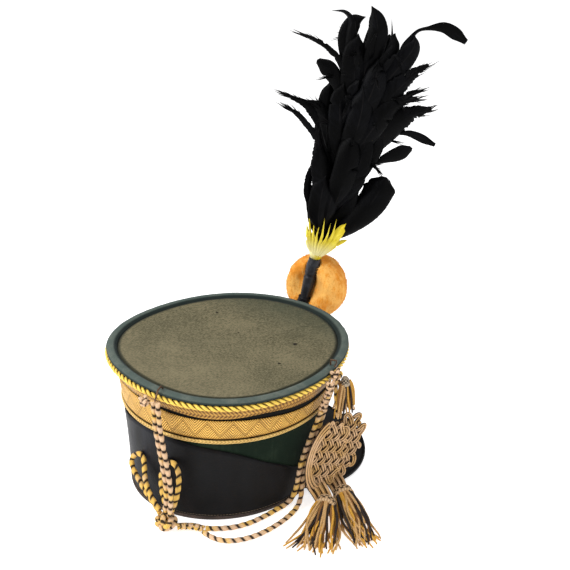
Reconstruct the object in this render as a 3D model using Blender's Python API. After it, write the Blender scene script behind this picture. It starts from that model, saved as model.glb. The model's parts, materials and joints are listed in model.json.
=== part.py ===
"""A shako: a cloth-covered drum hat with a leather guard, two gold laces, a peak, a plume with a
pompom, and plaited cords that end in woven mats and tassels.

Frame: metres, +Z up. The hat stands on its foot binding at z = 0 and the origin is the centre of
the head opening. The front is towards -Y and the wearer's right is towards -X. A turn is an
angle about Z that starts at the front and grows towards the wearer's right.
"""

import math
from collections import namedtuple

import bmesh
import bpy
from mathutils import Matrix, Vector

# Crown
HEAD_LENGTH = 0.1920
HEAD_WIDTH = 0.1770
TOP_LENGTH = 0.2330
TOP_WIDTH = 0.2240
TOP_FORWARD = 0.0098
CROWN_HEIGHT = 0.1335
TOP_TILT = 0.0028
RIM_SWELL = 0.0018
RIM_LIFT = 0.0007
CLOTH = 0.0025
GAP = 0.0003
RING_STEPS = 36

# Foot
BINDING = 0.0006
BINDING_FLOOR = 0.0008
BINDING_LIP = 0.0040
LEATHER = 0.0012
GUARD_HEIGHT = 0.0857

# Peak
PEAK_REACH = 0.0500
PEAK_ROOT = 0.0015
PEAK_CORNER = math.radians(84.0)
PEAK_THICKNESS = 0.0022
PEAK_DROP = 0.0030
PEAK_STEPS = 22
EDGE_THICKNESS = 0.0022
EDGE_HEIGHT = 0.0040

# Laces, piping and rim
LACE = 0.0010
PIPING_LOW = 0.0860
PIPING_HEIGHT = 0.0038
PIPING_THICKNESS = 0.0025
LOWER_LACE_LOW = 0.0913
LOWER_LACE_WIDTH = 0.0232
UPPER_LACE_HIGH = 0.1252
UPPER_LACE_WIDTH = 0.0142
RIM_CORD = 0.0056
RIM_CORD_HEIGHT = 0.1290
WALL_TOP = 0.1290
LID = 0.0025
LID_RISE = 0.0018
WELT_WIDTH = 0.0097
WELT_HEIGHT = 0.0037
WELT_OVERHANG = 0.0021

# Plume and pompom
PLUME_TURN = math.radians(-3.6)
PLUME_LEAN = math.radians(14.0)
PLUME_SIDE_LEAN = math.radians(6.7)
PLUME_LENGTH = 0.3050
SOCKET_OUTER = 0.0063
SOCKET_INNER = 0.0053
SOCKET_BELOW = 0.0190
SOCKET_ABOVE = 0.0075
STEM_TOP = 0.0500
STEM_WIDE = 0.0070
STEM_SLIM = 0.0050
STEM_BELOW = 0.0270
YELLOW_CORE_HEIGHT = 0.0120
YELLOW_CORE = 0.0090
BLACK_ROOT = 0.0030
PLUME_CORE = 0.0165
BLADE_THICKNESS = 0.0040
POMPOM_RADIUS = 0.0340
POMPOM_DEPTH = 0.0460
POMPOM_ALONG = 0.0180
POMPOM_AHEAD = 0.0180

# Cords, tassels and mats
CORD = 0.0052
BRAID = 0.0100
PLAIT = 0.0088
MAT_CORD = 0.0040
MAT_LENGTH = 0.0710
MAT_WIDTH = 0.0390
MAT_THICKNESS = 0.0050
MAT_SWING = math.radians(25.0)
MAT_LEAN = math.radians(19.0)
WIRE = 0.0018
HOOK_INSET = 0.0030
HOOK_RISE = 0.0024
CORD_SPACING = 2.9
TABLE_LIFT = 0.0004
NECK_SHORT = 0.0024
HANG_LEAD = 1.15
POMPOM_SIDES = 22

# Each crown section: its height, and how much of the growth from foot to top it has
Section = namedtuple("Section", "height length width forward swell")
SECTIONS = (
    Section(0.00, 0.00, 0.00, 0.00, 0.00),
    Section(0.25, 0.05, 0.15, 0.12, 0.00),
    Section(0.45, 0.11, 0.28, 0.25, 0.04),
    Section(0.65, 0.21, 0.43, 0.40, 0.18),
    Section(0.80, 0.33, 0.57, 0.52, 0.41),
    Section(0.90, 0.54, 0.72, 0.70, 0.66),
    Section(1.00, 1.00, 1.00, 1.00, 1.00),
)

# The worn rim's waves: how many, and their share and starting turn of the swell and the lift
Wave = namedtuple("Wave", "count swell swell_from lift lift_from")
WAVES = (
    Wave(2, 0.25, 44, 1.00, 33),
    Wave(3, 1.00, 6, 0.55, -32),
    Wave(4, 0.60, -40, 0.40, 30),
)

# Edges that wander: a turn in degrees and a share of the piece's full height
Edge = namedtuple("Edge", "turn share")
GUARD_EDGE = (Edge(0, 0.37), Edge(90, 0.37), Edge(100, 0.52), Edge(119, 0.715), Edge(130, 0.85),
              Edge(147, 0.94), Edge(157, 0.95), Edge(166, 1.0), Edge(180, 1.0))
LOWER_LACE_EDGE = (Edge(0, 0.62), Edge(95, 0.59), Edge(119, 0.81), Edge(140, 0.89),
                   Edge(155, 0.85), Edge(166, 0.89), Edge(197, 0.99), Edge(250, 0.85),
                   Edge(310, 0.70), Edge(360, 0.62))
UPPER_LACE_EDGE = (Edge(0, 0.93), Edge(95, 1.00), Edge(119, 0.58), Edge(140, 0.81),
                   Edge(155, 0.76), Edge(166, 0.61), Edge(197, 0.67), Edge(250, 0.72),
                   Edge(310, 0.86), Edge(360, 0.93))

# The pompom's outline, as shares of its radius and half depth, from its back to its front
Turned = namedtuple("Turned", "out along")
POMPOM_OUTLINE = (
    Turned(0.34, -0.60), Turned(0.56, -0.84), Turned(0.74, -0.86), Turned(0.92, -0.52),
    Turned(1.00, -0.02), Turned(0.93, 0.44), Turned(0.74, 0.76), Turned(0.42, 0.95),
)

# Feathers: where each leaves and ends along the plume, how far its tip stands out as a share of
# the plume's length, the turn it grows to, its width as a share of its own length, its curl, and
# the roll of its blade about its own run
Feather = namedtuple("Feather", "start tip out turn width curl roll")
BLACK_FEATHERS = (
    Feather(0.30, 0.452, 0.095, 233, 0.42, 0.30, 80),
    Feather(0.30, 0.466, 0.046, 200, 0.56, 0.10, 60),
    Feather(0.29, 0.495, 0.161, 53, 0.46, 0.65, 80),
    Feather(0.32, 0.470, 0.110, 320, 0.40, 0.35, 0),
    Feather(0.34, 0.500, 0.085, 141, 0.50, 0.25, 0),
    Feather(0.42, 0.613, 0.030, 141, 0.42, 0.10, 0),
    Feather(0.42, 0.633, 0.060, 80, 0.40, 0.15, 40),
    Feather(0.42, 0.570, 0.115, 233, 0.42, 0.30, 80),
    Feather(0.46, 0.643, 0.280, 53, 0.13, -0.30, 80),
    Feather(0.44, 0.613, 0.205, 55, 0.22, 0.00, 80),
    Feather(0.44, 0.620, 0.110, 321, 0.40, 0.25, 0),
    Feather(0.49, 0.636, 0.205, 234, 0.20, 0.10, 80),
    Feather(0.50, 0.682, 0.215, 232, 0.16, 0.05, 80),
    Feather(0.52, 0.754, 0.222, 53, 0.34, 0.15, 80),
    Feather(0.52, 0.760, 0.090, 160, 0.40, 0.20, 10),
    Feather(0.54, 0.780, 0.165, 50, 0.30, 0.20, 75),
    Feather(0.56, 0.780, 0.100, 300, 0.38, 0.20, 0),
    Feather(0.58, 0.820, 0.145, 233, 0.24, 0.15, 80),
    Feather(0.60, 0.860, 0.080, 100, 0.36, 0.20, 30),
    Feather(0.62, 0.882, 0.200, 233, 0.12, 0.10, 80),
    Feather(0.62, 0.875, 0.180, 53, 0.30, 0.20, 80),
    Feather(0.66, 0.900, 0.070, 260, 0.30, 0.20, 30),
    Feather(0.70, 0.990, 0.275, 53, 0.16, -0.45, 80),
    Feather(0.70, 0.974, 0.046, 60, 0.16, 0.00, 60),
    Feather(0.70, 0.965, 0.130, 233, 0.26, 0.20, 80),
    Feather(0.72, 1.005, 0.033, 225, 0.22, 0.05, 60),
)
YELLOW_FEATHERS = (
    Feather(0.18, 0.305, 0.050, 233, 0.20, 0.00, 60),
    Feather(0.18, 0.285, 0.036, 185, 0.22, 0.00, 20),
    Feather(0.18, 0.300, 0.030, 141, 0.30, 0.00, 0),
    Feather(0.18, 0.300, 0.050, 95, 0.22, 0.00, 20),
    Feather(0.18, 0.312, 0.052, 53, 0.30, 0.00, 70),
    Feather(0.18, 0.252, 0.080, 48, 0.18, 0.00, 60),
    Feather(0.18, 0.270, 0.045, 330, 0.24, 0.00, 0),
    Feather(0.18, 0.270, 0.045, 280, 0.24, 0.00, 0),
)

# Tassels: where the head lies, the heading of the skirt, its spread and its sizes
Tassel = namedtuple("Tassel", "name head heading spread skirt radius strands")
FLOOR_TASSELS = (
    Tassel("tassel_front", (-0.1315, 0.0060), 115, 27, 0.0660, 0.0110, 9),
    Tassel("tassel_back", (-0.1340, -0.0185), 149, 11, 0.0740, 0.0105, 7),
)
SMALL_TASSEL_HEAD = (-0.1234, -0.0316, 0.1267)
SMALL_TASSEL_RADIUS = 0.0050
SMALL_TASSEL_SKIRT = 0.0370

# Woven mats: the middle of each
MAT_FRONT = (-0.1199, -0.0109, 0.0560)
MAT_BACK = (-0.1205, -0.0356, 0.0530)

# Knots: the middle and half sizes of each
Knot = namedtuple("Knot", "name middle half")
KNOTS = (
    Knot("side_knot", (-0.1178, -0.0249, 0.1340), (0.0058, 0.0062, 0.0062)),
    Knot("back_knot", (-0.0056, 0.1125, 0.1275), (0.0060, 0.0042, 0.0060)),
    Knot("slide_knot", (-0.0300, 0.1167, 0.0093), (0.0105, 0.0095, 0.0088)),
)

# The crown sizes that the knots, mats, tassels and cord routes were measured on
Measured = namedtuple("Measured", "head_length head_width top_length top_width")
MEASURED = Measured(0.1920, 0.1770, 0.2330, 0.2240)

# Cord routes: points chosen along each cord, in metres
ROUTES = {
    "braid_right": (
        (-0.1190, -0.0160, 0.1288), (-0.1180, -0.0163, 0.1210), (-0.1150, -0.0158, 0.1110),
        (-0.1116, -0.0142, 0.0985)),
    "cord_inner": (
        (-0.1113, -0.0115, 0.0979), (-0.1072, -0.0055, 0.0780), (-0.1040, 0.0002, 0.0620),
        (-0.1014, 0.0046, 0.0470), (-0.1000, 0.0074, 0.0320), (-0.0986, 0.0098, 0.0180),
        (-0.0965, 0.0138, 0.0074), (-0.0942, 0.0215, 0.0031), (-0.0929, 0.0310, 0.0030),
        (-0.0909, 0.0460, 0.0030), (-0.0870, 0.0625, 0.0030), (-0.0800, 0.0770, 0.0030),
        (-0.0708, 0.0876, 0.0030), (-0.0604, 0.0960, 0.0031)),
    "cord_outer": (
        (-0.1113, -0.0172, 0.0977), (-0.1082, -0.0112, 0.0780), (-0.1052, -0.0056, 0.0620),
        (-0.1026, -0.0012, 0.0470), (-0.1014, 0.0016, 0.0320), (-0.1018, 0.0046, 0.0170),
        (-0.1038, 0.0100, 0.0068), (-0.1066, 0.0210, 0.0031), (-0.1085, 0.0400, 0.0030),
        (-0.1070, 0.0590, 0.0030), (-0.1030, 0.0755, 0.0030), (-0.0962, 0.0885, 0.0030),
        (-0.0880, 0.0970, 0.0030), (-0.0790, 0.1012, 0.0030), (-0.0705, 0.1020, 0.0030),
        (-0.0624, 0.1013, 0.0031)),
    "plait_left": (
        (-0.0397, 0.1117, 0.0054), (-0.0450, 0.1060, 0.0050), (-0.0515, 0.1015, 0.0050),
        (-0.0600, 0.0990, 0.0050)),
    "hanging_cord_left": (
        (-0.0142, 0.1100, 0.1285), (-0.0157, 0.1106, 0.1160), (-0.0177, 0.1117, 0.1030),
        (-0.0212, 0.1130, 0.0900), (-0.0250, 0.1142, 0.0770), (-0.0287, 0.1155, 0.0640),
        (-0.0317, 0.1165, 0.0500), (-0.0320, 0.1170, 0.0350), (-0.0297, 0.1170, 0.0187)),
    "hanging_cord_right": (
        (-0.0198, 0.1100, 0.1285), (-0.0213, 0.1106, 0.1160), (-0.0233, 0.1117, 0.1030),
        (-0.0268, 0.1130, 0.0900), (-0.0306, 0.1142, 0.0770), (-0.0343, 0.1155, 0.0640),
        (-0.0373, 0.1165, 0.0500), (-0.0376, 0.1170, 0.0350), (-0.0353, 0.1170, 0.0177)),
    "loop_left": (
        (-0.0190, 0.1130, 0.0102), (-0.0080, 0.1098, 0.0150), (0.0045, 0.1078, 0.0225),
        (0.0160, 0.1054, 0.0300), (0.0250, 0.1031, 0.0370), (0.0285, 0.1011, 0.0435),
        (0.0263, 0.0989, 0.0492), (0.0208, 0.0974, 0.0520), (0.0152, 0.0984, 0.0503),
        (0.0110, 0.1014, 0.0445), (0.0070, 0.1054, 0.0365), (0.0005, 0.1092, 0.0290),
        (-0.0090, 0.1124, 0.0220), (-0.0205, 0.1153, 0.0157)),
    "loop_right": (
        (-0.0252, 0.1089, 0.0158), (-0.0185, 0.1070, 0.0245), (-0.0138, 0.1044, 0.0350),
        (-0.0120, 0.1016, 0.0460), (-0.0144, 0.0992, 0.0555), (-0.0189, 0.0983, 0.0600),
        (-0.0249, 0.0976, 0.0600), (-0.0299, 0.0983, 0.0550), (-0.0334, 0.1010, 0.0470),
        (-0.0344, 0.1040, 0.0370), (-0.0334, 0.1068, 0.0270), (-0.0310, 0.1096, 0.0173)),
    "mat_cord_front": (
        (-0.1176, -0.0252, 0.1273), (-0.1182, -0.0242, 0.1180), (-0.1200, -0.0228, 0.1050),
        (-0.1234, -0.0212, 0.0917)),
    "mat_cord_back": (
        (-0.1157, -0.0294, 0.1289), (-0.1163, -0.0340, 0.1170), (-0.1192, -0.0402, 0.1030),
        (-0.1243, -0.0455, 0.0890)),
}


def clear_scene():
    """Remove every object, so that the model starts from nothing."""
    for existing in list(bpy.data.objects):
        bpy.data.objects.remove(existing, do_unlink=True)


def finish(name, colour, roughness, metallic=0.0):
    """Return a Principled material."""
    material = bpy.data.materials.new(name)
    material.use_nodes = True
    shader = material.node_tree.nodes["Principled BSDF"]
    shader.inputs["Base Color"].default_value = (*colour, 1.0)
    shader.inputs["Roughness"].default_value = roughness
    shader.inputs["Metallic"].default_value = metallic
    return material


def between(rows, field, key_field, key):
    """Read a table's column at a key, straight between its rows and held past its ends."""
    first, last = rows[0], rows[-1]
    if key <= getattr(first, key_field):
        return getattr(first, field)
    for low, high in zip(rows, rows[1:]):
        a, b = getattr(low, key_field), getattr(high, key_field)
        if key <= b:
            share = (key - a) / (b - a)
            return getattr(low, field) * (1 - share) + getattr(high, field) * share
    return getattr(last, field)


def growth(height, field):
    """Return how much of the crown's growth in one direction is reached at a height."""
    return between(SECTIONS, field, "height", height / CROWN_HEIGHT)


def edge_share(rows, turn):
    """Return a wandering edge's share at a turn in radians."""
    degrees = math.degrees(turn) % 360
    if rows[-1].turn == 180 and degrees > 180:
        degrees = 360 - degrees
    return between(rows, "share", "turn", degrees)


def rim_waves(turn):
    """Return the worn rim's swell and lift at a turn."""
    swell = sum(w.swell * math.cos(w.count * (turn - math.radians(w.swell_from))) for w in WAVES)
    lift = sum(w.lift * math.cos(w.count * (turn - math.radians(w.lift_from))) for w in WAVES)
    return RIM_SWELL * swell, RIM_LIFT * lift


def wall_point(turn, height, proud):
    """Return the point that stands proud of the cloth wall at a turn and a height."""
    swell, lift = rim_waves(turn)
    worn = growth(height, "swell")
    half_length = HEAD_LENGTH / 2 + (TOP_LENGTH - HEAD_LENGTH) / 2 * growth(height, "length")
    half_width = HEAD_WIDTH / 2 + (TOP_WIDTH - HEAD_WIDTH) / 2 * growth(height, "width")
    out = proud + swell * worn
    rise = lift * worn - TOP_TILT * growth(height, "forward") * worn * math.cos(turn)
    return Vector((
        -(half_width + out) * math.sin(turn),
        -(half_length + out) * math.cos(turn) - TOP_FORWARD * growth(height, "forward"),
        height + rise,
    ))


def wall_move(height):
    """Return how much further out the wall stands than it was measured, lengthwise and across."""
    long = growth(height, "length")
    wide = growth(height, "width")
    further = (HEAD_LENGTH - MEASURED.head_length) / 2 * (1 - long)
    further += (TOP_LENGTH - MEASURED.top_length) / 2 * long
    wider = (HEAD_WIDTH - MEASURED.head_width) / 2 * (1 - wide)
    wider += (TOP_WIDTH - MEASURED.top_width) / 2 * wide
    return further, wider


def carried(point):
    """Return a measured point moved as far as the wall beside it or just above it has moved."""
    x, y, height = point
    turn = math.atan2(-x, -y)
    beside = wall_move(height)
    above = wall_move(height * HANG_LEAD)
    further = max(beside[0], above[0])
    wider = max(beside[1], above[1])
    return Vector((x - wider * math.sin(turn), y - further * math.cos(turn), height))


def levels(low, high):
    """Return the two heights and the section heights between them."""
    inside = [s.height * CROWN_HEIGHT for s in SECTIONS if low < s.height * CROWN_HEIGHT < high]
    return [low] + inside + [high]


def strip(low, high, inner, thickness, count=2):
    """Return a wall's section corners: up its inner face, then down its outer face."""
    heights = [low + (high - low) * i / (count - 1) for i in range(count)]
    outer = inner + thickness
    return [(h, inner) for h in heights] + [(h, outer) for h in reversed(heights)]


def oval(middle_height, middle_proud, half_height, half_thickness, corners=6):
    """Return a rounded section's corners."""
    angles = [2 * math.pi * i / corners for i in range(corners)]
    return [(middle_height + half_height * math.sin(a), middle_proud + half_thickness * math.cos(a))
            for a in angles]


def new_object(name, bm, material, smooth_angle=35.0):
    """Turn a bmesh into a named object with its faces outward and its round faces smooth."""
    bmesh.ops.recalc_face_normals(bm, faces=bm.faces[:])
    mesh = bpy.data.meshes.new(name)
    bm.to_mesh(mesh)
    bm.free()
    mesh.shade_smooth()
    mesh.set_sharp_from_angle(angle=math.radians(smooth_angle))
    obj = bpy.data.objects.new(name, mesh)
    obj.data.materials.append(material)
    bpy.context.scene.collection.objects.link(obj)
    return obj


def add_loops(bm, loops, closed):
    """Skin a list of vertex loops with quads, closing the row of loops or capping its ends."""
    rows = [[bm.verts.new(point) for point in loop] for loop in loops]
    pairs = list(zip(rows, rows[1:]))
    if closed:
        pairs.append((rows[-1], rows[0]))
    for one, two in pairs:
        for i in range(len(one)):
            j = (i + 1) % len(one)
            bm.faces.new((one[i], one[j], two[j], two[i]))
    if not closed:
        bm.faces.new(rows[0])
        bm.faces.new(list(reversed(rows[-1])))
    return rows


def ring(name, section, material):
    """Make a closed ring round the crown from the section at each turn."""
    bm = bmesh.new()
    turns = [2 * math.pi * i / RING_STEPS for i in range(RING_STEPS)]
    loops = [[wall_point(turn, h, p) for h, p in section(turn)] for turn in turns]
    add_loops(bm, loops, closed=True)
    return new_object(name, bm, material)


def loft(bm, stations, sides):
    """Add a closed tube through stations, each a middle and its two half-size vectors."""
    loops = []
    for middle, side, up in stations:
        angles = [2 * math.pi * i / sides for i in range(sides)]
        loops.append([middle + side * math.cos(a) + up * math.sin(a) for a in angles])
    add_loops(bm, loops, closed=False)


def axes_along(direction, hint):
    """Return two unit vectors square to a direction, the first one near the hint."""
    direction = direction.normalized()
    side = (hint - direction * hint.dot(direction)).normalized()
    return side, direction.cross(side)


def turned(bm, foot, direction, rows, sides=12):
    """Add a turned body whose rows give a distance along the axis and a radius."""
    side, up = axes_along(direction, Vector((1.0, 0.0, 0.0)))
    unit = direction.normalized()
    loft(bm, [(foot + unit * along, side * radius, up * radius) for along, radius in rows], sides)


def fuse(name, body, pieces, material):
    """Join loose pieces to a body so that they are one closed solid."""
    target = new_object(name, body, material)
    helper = new_object(name + "_pieces", pieces, material)
    helper.hide_render = True
    helper.display_type = "WIRE"
    union = target.modifiers.new("fuse", "BOOLEAN")
    union.operation = "UNION"
    union.solver = "EXACT"
    union.use_self = True
    union.object = helper
    return target


# Crown


def make_crown_wall(material):
    """Make the cloth wall, open at its foot and hollow inside."""
    heights = levels(BINDING_FLOOR + GAP, WALL_TOP)
    corners = [(h, -CLOTH) for h in heights] + [(h, 0.0) for h in reversed(heights)]
    ring("crown_wall", lambda turn: corners, material)


def lid_loop(height, proud):
    """Return one ring of points on the crown's lid."""
    turns = [2 * math.pi * i / RING_STEPS for i in range(RING_STEPS)]
    return [wall_point(turn, height, proud) for turn in turns]


def make_crown_top(material):
    """Make the sunken lid that lies on the wall, under the welt."""
    low = WALL_TOP + GAP
    high = low + LID
    inside = WELT_OVERHANG - WELT_WIDTH - GAP
    bm = bmesh.new()
    loops = [lid_loop(low, 0.0), lid_loop(high, 0.0), lid_loop(high, inside),
             lid_loop(high + LID_RISE, inside - LID_RISE)]
    add_loops(bm, loops, closed=False)
    new_object("crown_top", bm, material)


def make_top_welt(material):
    """Make the rolled cloth welt that runs round the lid's edge."""
    low = WALL_TOP + GAP + LID + GAP
    high = low + WELT_HEIGHT
    inner = WELT_OVERHANG - WELT_WIDTH
    corners = [
        (low, inner), (low + 0.50 * WELT_HEIGHT, inner + 0.05 * WELT_WIDTH),
        (high - 0.06 * WELT_HEIGHT, inner + 0.28 * WELT_WIDTH), (high, inner + 0.62 * WELT_WIDTH),
        (low + 0.66 * WELT_HEIGHT, inner + 0.92 * WELT_WIDTH),
        (low + 0.30 * WELT_HEIGHT, WELT_OVERHANG), (low, inner + 0.95 * WELT_WIDTH),
    ]
    ring("top_welt", lambda turn: corners, material)


def make_rim_cord(material):
    """Make the twisted gold cord under the welt."""
    radius = RIM_CORD / 2
    corners = oval(RIM_CORD_HEIGHT, GAP + radius, radius, radius)
    ring("rim_cord", lambda turn: corners, material)


def make_laces(material):
    """Make the two gold laces, whose facing edges wander."""
    ring("lower_lace",
         lambda turn: strip(LOWER_LACE_LOW,
                            LOWER_LACE_LOW + LOWER_LACE_WIDTH * edge_share(LOWER_LACE_EDGE, turn),
                            GAP, LACE, 3),
         material)
    ring("upper_lace",
         lambda turn: strip(UPPER_LACE_HIGH - UPPER_LACE_WIDTH * edge_share(UPPER_LACE_EDGE, turn),
                            UPPER_LACE_HIGH, GAP, LACE),
         material)


def make_piping(material):
    """Make the gold piping below the laces."""
    corners = oval(PIPING_LOW + PIPING_HEIGHT / 2, GAP + PIPING_THICKNESS / 2,
                   PIPING_HEIGHT / 2, PIPING_THICKNESS / 2)
    ring("lace_piping", lambda turn: corners, material)


def make_leather_guard(material):
    """Make the leather that covers the lower wall and rises up the back."""
    low = BINDING_FLOOR + GAP
    ring("leather_guard",
         lambda turn: strip(low, GUARD_HEIGHT * edge_share(GUARD_EDGE, turn), GAP, LEATHER, 3),
         material)


def make_foot_binding(material):
    """Make the folded binding that wraps the foot of the wall and stands on the table."""
    outer_face = GAP + LEATHER + GAP
    inner_face = -CLOTH - GAP
    corners = [
        (0.0, inner_face - BINDING), (BINDING_LIP, inner_face - BINDING),
        (BINDING_LIP, inner_face), (BINDING_FLOOR, inner_face),
        (BINDING_FLOOR, outer_face), (BINDING_LIP, outer_face),
        (BINDING_LIP, outer_face + BINDING), (0.0, outer_face + BINDING),
    ]
    ring("foot_binding", lambda turn: corners, material)


# Peak


def peak_reach(turn):
    """Return how far the peak stands out of the wall at a turn."""
    return PEAK_ROOT + PEAK_REACH * (1 - (abs(turn) / PEAK_CORNER) ** 4)


def peak_low(share):
    """Return the height of the peak's underside at a share of its full reach."""
    return BINDING_LIP + GAP + GAP - PEAK_DROP * share * share


def peak_turns():
    """Return the turns at which the peak is cut."""
    return [PEAK_CORNER * (2 * i / PEAK_STEPS - 1) for i in range(PEAK_STEPS + 1)]


def make_peak(material):
    """Make the leather peak, sewn on above the foot binding's lip."""
    root = GAP + LEATHER + GAP
    bm = bmesh.new()
    loops = []
    for turn in peak_turns():
        reach = peak_reach(turn)
        shares = (0.0, 0.5, 1.0)
        lows = [(peak_low(s * reach / PEAK_REACH), root + s * reach) for s in shares]
        highs = [(low + PEAK_THICKNESS, out) for low, out in reversed(lows)]
        loops.append([wall_point(turn, low, out) for low, out in lows + highs])
    add_loops(bm, loops, closed=False)
    new_object("peak", bm, material)


def make_peak_binding(material):
    """Make the bound edge that follows the peak."""
    bm = bmesh.new()
    loops = []
    for turn in peak_turns():
        reach = peak_reach(turn)
        out = GAP + LEATHER + GAP + reach + GAP + EDGE_THICKNESS / 2
        middle = peak_low(reach / PEAK_REACH) + PEAK_THICKNESS / 2
        section = oval(middle, out, EDGE_HEIGHT / 2, EDGE_THICKNESS / 2)
        loops.append([wall_point(turn, max(h, GAP), p) for h, p in section])
    add_loops(bm, loops, closed=False)
    new_object("peak_binding", bm, material)


# Plume and pompom


def plume_axis():
    """Return the plume's unit direction."""
    return Vector((-math.tan(PLUME_SIDE_LEAN), -math.tan(PLUME_LEAN), 1.0)).normalized()


def plume_foot():
    """Return the point on the plume's axis where its socket meets the rim cord."""
    seat = GAP + RIM_CORD + GAP + SOCKET_OUTER / math.cos(PLUME_LEAN)
    return wall_point(PLUME_TURN, RIM_CORD_HEIGHT, seat)


def plume_point(along, out=0.0, turn=0.0):
    """Return a point at a distance along the plume, out from its axis towards a turn."""
    axis = plume_axis()
    front, side = axes_along(axis, Vector((0.0, -1.0, 0.0)))
    outward = front * math.cos(turn) - side * math.sin(turn)
    return plume_foot() + axis * along + outward * out


def make_plume_socket(material):
    """Make the short leather tube that holds the plume's stem."""
    rows = [(-SOCKET_BELOW, SOCKET_OUTER), (SOCKET_ABOVE, SOCKET_OUTER),
            (SOCKET_ABOVE, SOCKET_INNER), (-SOCKET_BELOW, SOCKET_INNER)]
    side, up = axes_along(plume_axis(), Vector((1.0, 0.0, 0.0)))
    bm = bmesh.new()
    steps = 16
    loops = []
    for i in range(steps):
        angle = 2 * math.pi * i / steps
        outward = side * math.cos(angle) + up * math.sin(angle)
        loops.append([plume_point(along) + outward * radius for along, radius in rows])
    add_loops(bm, loops, closed=True)
    new_object("plume_socket", bm, material)


def stem_rows():
    """Return the stem's distances along the plume and its radii."""
    return [(-STEM_BELOW, 0.8 * STEM_SLIM), (-SOCKET_BELOW, STEM_SLIM),
            (SOCKET_ABOVE + GAP, STEM_SLIM), (0.5 * STEM_TOP, 0.9 * STEM_WIDE),
            (0.85 * STEM_TOP, STEM_WIDE), (STEM_TOP, 0.85 * STEM_WIDE)]


def make_plume_stem(material):
    """Make the wrapped stem that stands in the socket."""
    bm = bmesh.new()
    turned(bm, plume_point(0.0), plume_axis(), stem_rows(), 14)
    new_object("plume_stem", bm, material)


def add_feather(bm, feather, root_out, bow=0.35):
    """Add one feather as a thin blade with a lens section."""
    turn = math.radians(feather.turn)
    start = plume_point(feather.start * PLUME_LENGTH, root_out, turn)
    tip = plume_point(feather.tip * PLUME_LENGTH, feather.out * PLUME_LENGTH, turn)
    run = tip - start
    outward = (plume_point(0.0, 1.0, turn) - plume_point(0.0)).normalized()
    bend = start + run * 0.55 - outward * run.length * bow * feather.curl
    bend += plume_axis() * run.length * 0.10
    roll = math.radians(feather.roll)
    shares = (0.0, 0.18, 0.42, 0.68, 0.88, 1.0)
    widths = (0.25, 0.62, 1.00, 0.95, 0.62, 0.12)
    stations = []
    for share, width in zip(shares, widths):
        middle = start * (1 - share) ** 2 + bend * 2 * share * (1 - share) + tip * share * share
        heading = (bend - start) * (1 - share) + (tip - bend) * share
        flat, side = axes_along(heading, outward)
        wide = side * math.cos(roll) + flat * math.sin(roll)
        deep = flat * math.cos(roll) - side * math.sin(roll)
        half = feather.width * run.length / 2 * width
        thick = BLADE_THICKNESS / 2 * (0.5 + 0.5 * width)
        stations.append((middle, wide * half, deep * thick))
    loft(bm, stations, 4)


def make_feathers(name, feathers, core_rows, root_out, material):
    """Make a bunch of feathers fused to its core."""
    core = bmesh.new()
    turned(core, plume_point(0.0), plume_axis(), core_rows, 10)
    blades = bmesh.new()
    for feather in feathers:
        add_feather(blades, feather, root_out)
    fuse(name, core, blades, material)


def make_plume(black, yellow):
    """Make the yellow feathers at the plume's root and the black ones above them."""
    root = STEM_TOP + GAP
    yellow_top = root + YELLOW_CORE_HEIGHT
    yellow_root = 0.7 * YELLOW_CORE
    make_feathers(
        "plume_yellow", YELLOW_FEATHERS,
        [(root, yellow_root), (root + 0.4 * YELLOW_CORE_HEIGHT, 0.9 * YELLOW_CORE),
         (yellow_top, YELLOW_CORE)], yellow_root, yellow)
    black_root = yellow_top + GAP
    rows = [(0.31, 0.30), (0.38, 0.85), (0.48, 1.00), (0.66, 1.00), (0.80, 0.80), (0.94, 0.35)]
    make_feathers(
        "plume_black", BLACK_FEATHERS,
        [(black_root, BLACK_ROOT)] + [(a * PLUME_LENGTH, r * PLUME_CORE) for a, r in rows],
        BLACK_ROOT, black)


def make_pompom(material):
    """Make the wool pompom in front of the stem, with a groove that the stem lies in."""
    middle = plume_point(POMPOM_ALONG, POMPOM_AHEAD, 0.0)
    facing = (plume_point(0.0, 1.0, 0.0) - plume_point(0.0)).normalized()
    rows = [(row.along * POMPOM_DEPTH / 2, row.out * POMPOM_RADIUS) for row in POMPOM_OUTLINE]
    bm = bmesh.new()
    turned(bm, middle, facing, rows, POMPOM_SIDES)
    pompom = new_object("pompom", bm, material, 60.0)
    groove = bmesh.new()
    rows = [(-SOCKET_BELOW - POMPOM_RADIUS, SOCKET_OUTER + GAP),
            (SOCKET_ABOVE + GAP, SOCKET_OUTER + GAP)]
    rows += [(along, radius + GAP) for along, radius in stem_rows() if along > SOCKET_ABOVE + GAP]
    rows.append((STEM_TOP + POMPOM_RADIUS, STEM_WIDE))
    turned(groove, plume_point(0.0), plume_axis(), rows, 14)
    cutter = new_object("pompom_groove", groove, material)
    cutter.hide_render = True
    cutter.display_type = "WIRE"
    cut = pompom.modifiers.new("groove", "BOOLEAN")
    cut.operation = "DIFFERENCE"
    cut.solver = "EXACT"
    cut.object = cutter


# Cords, knots, tassels and mats


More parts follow.
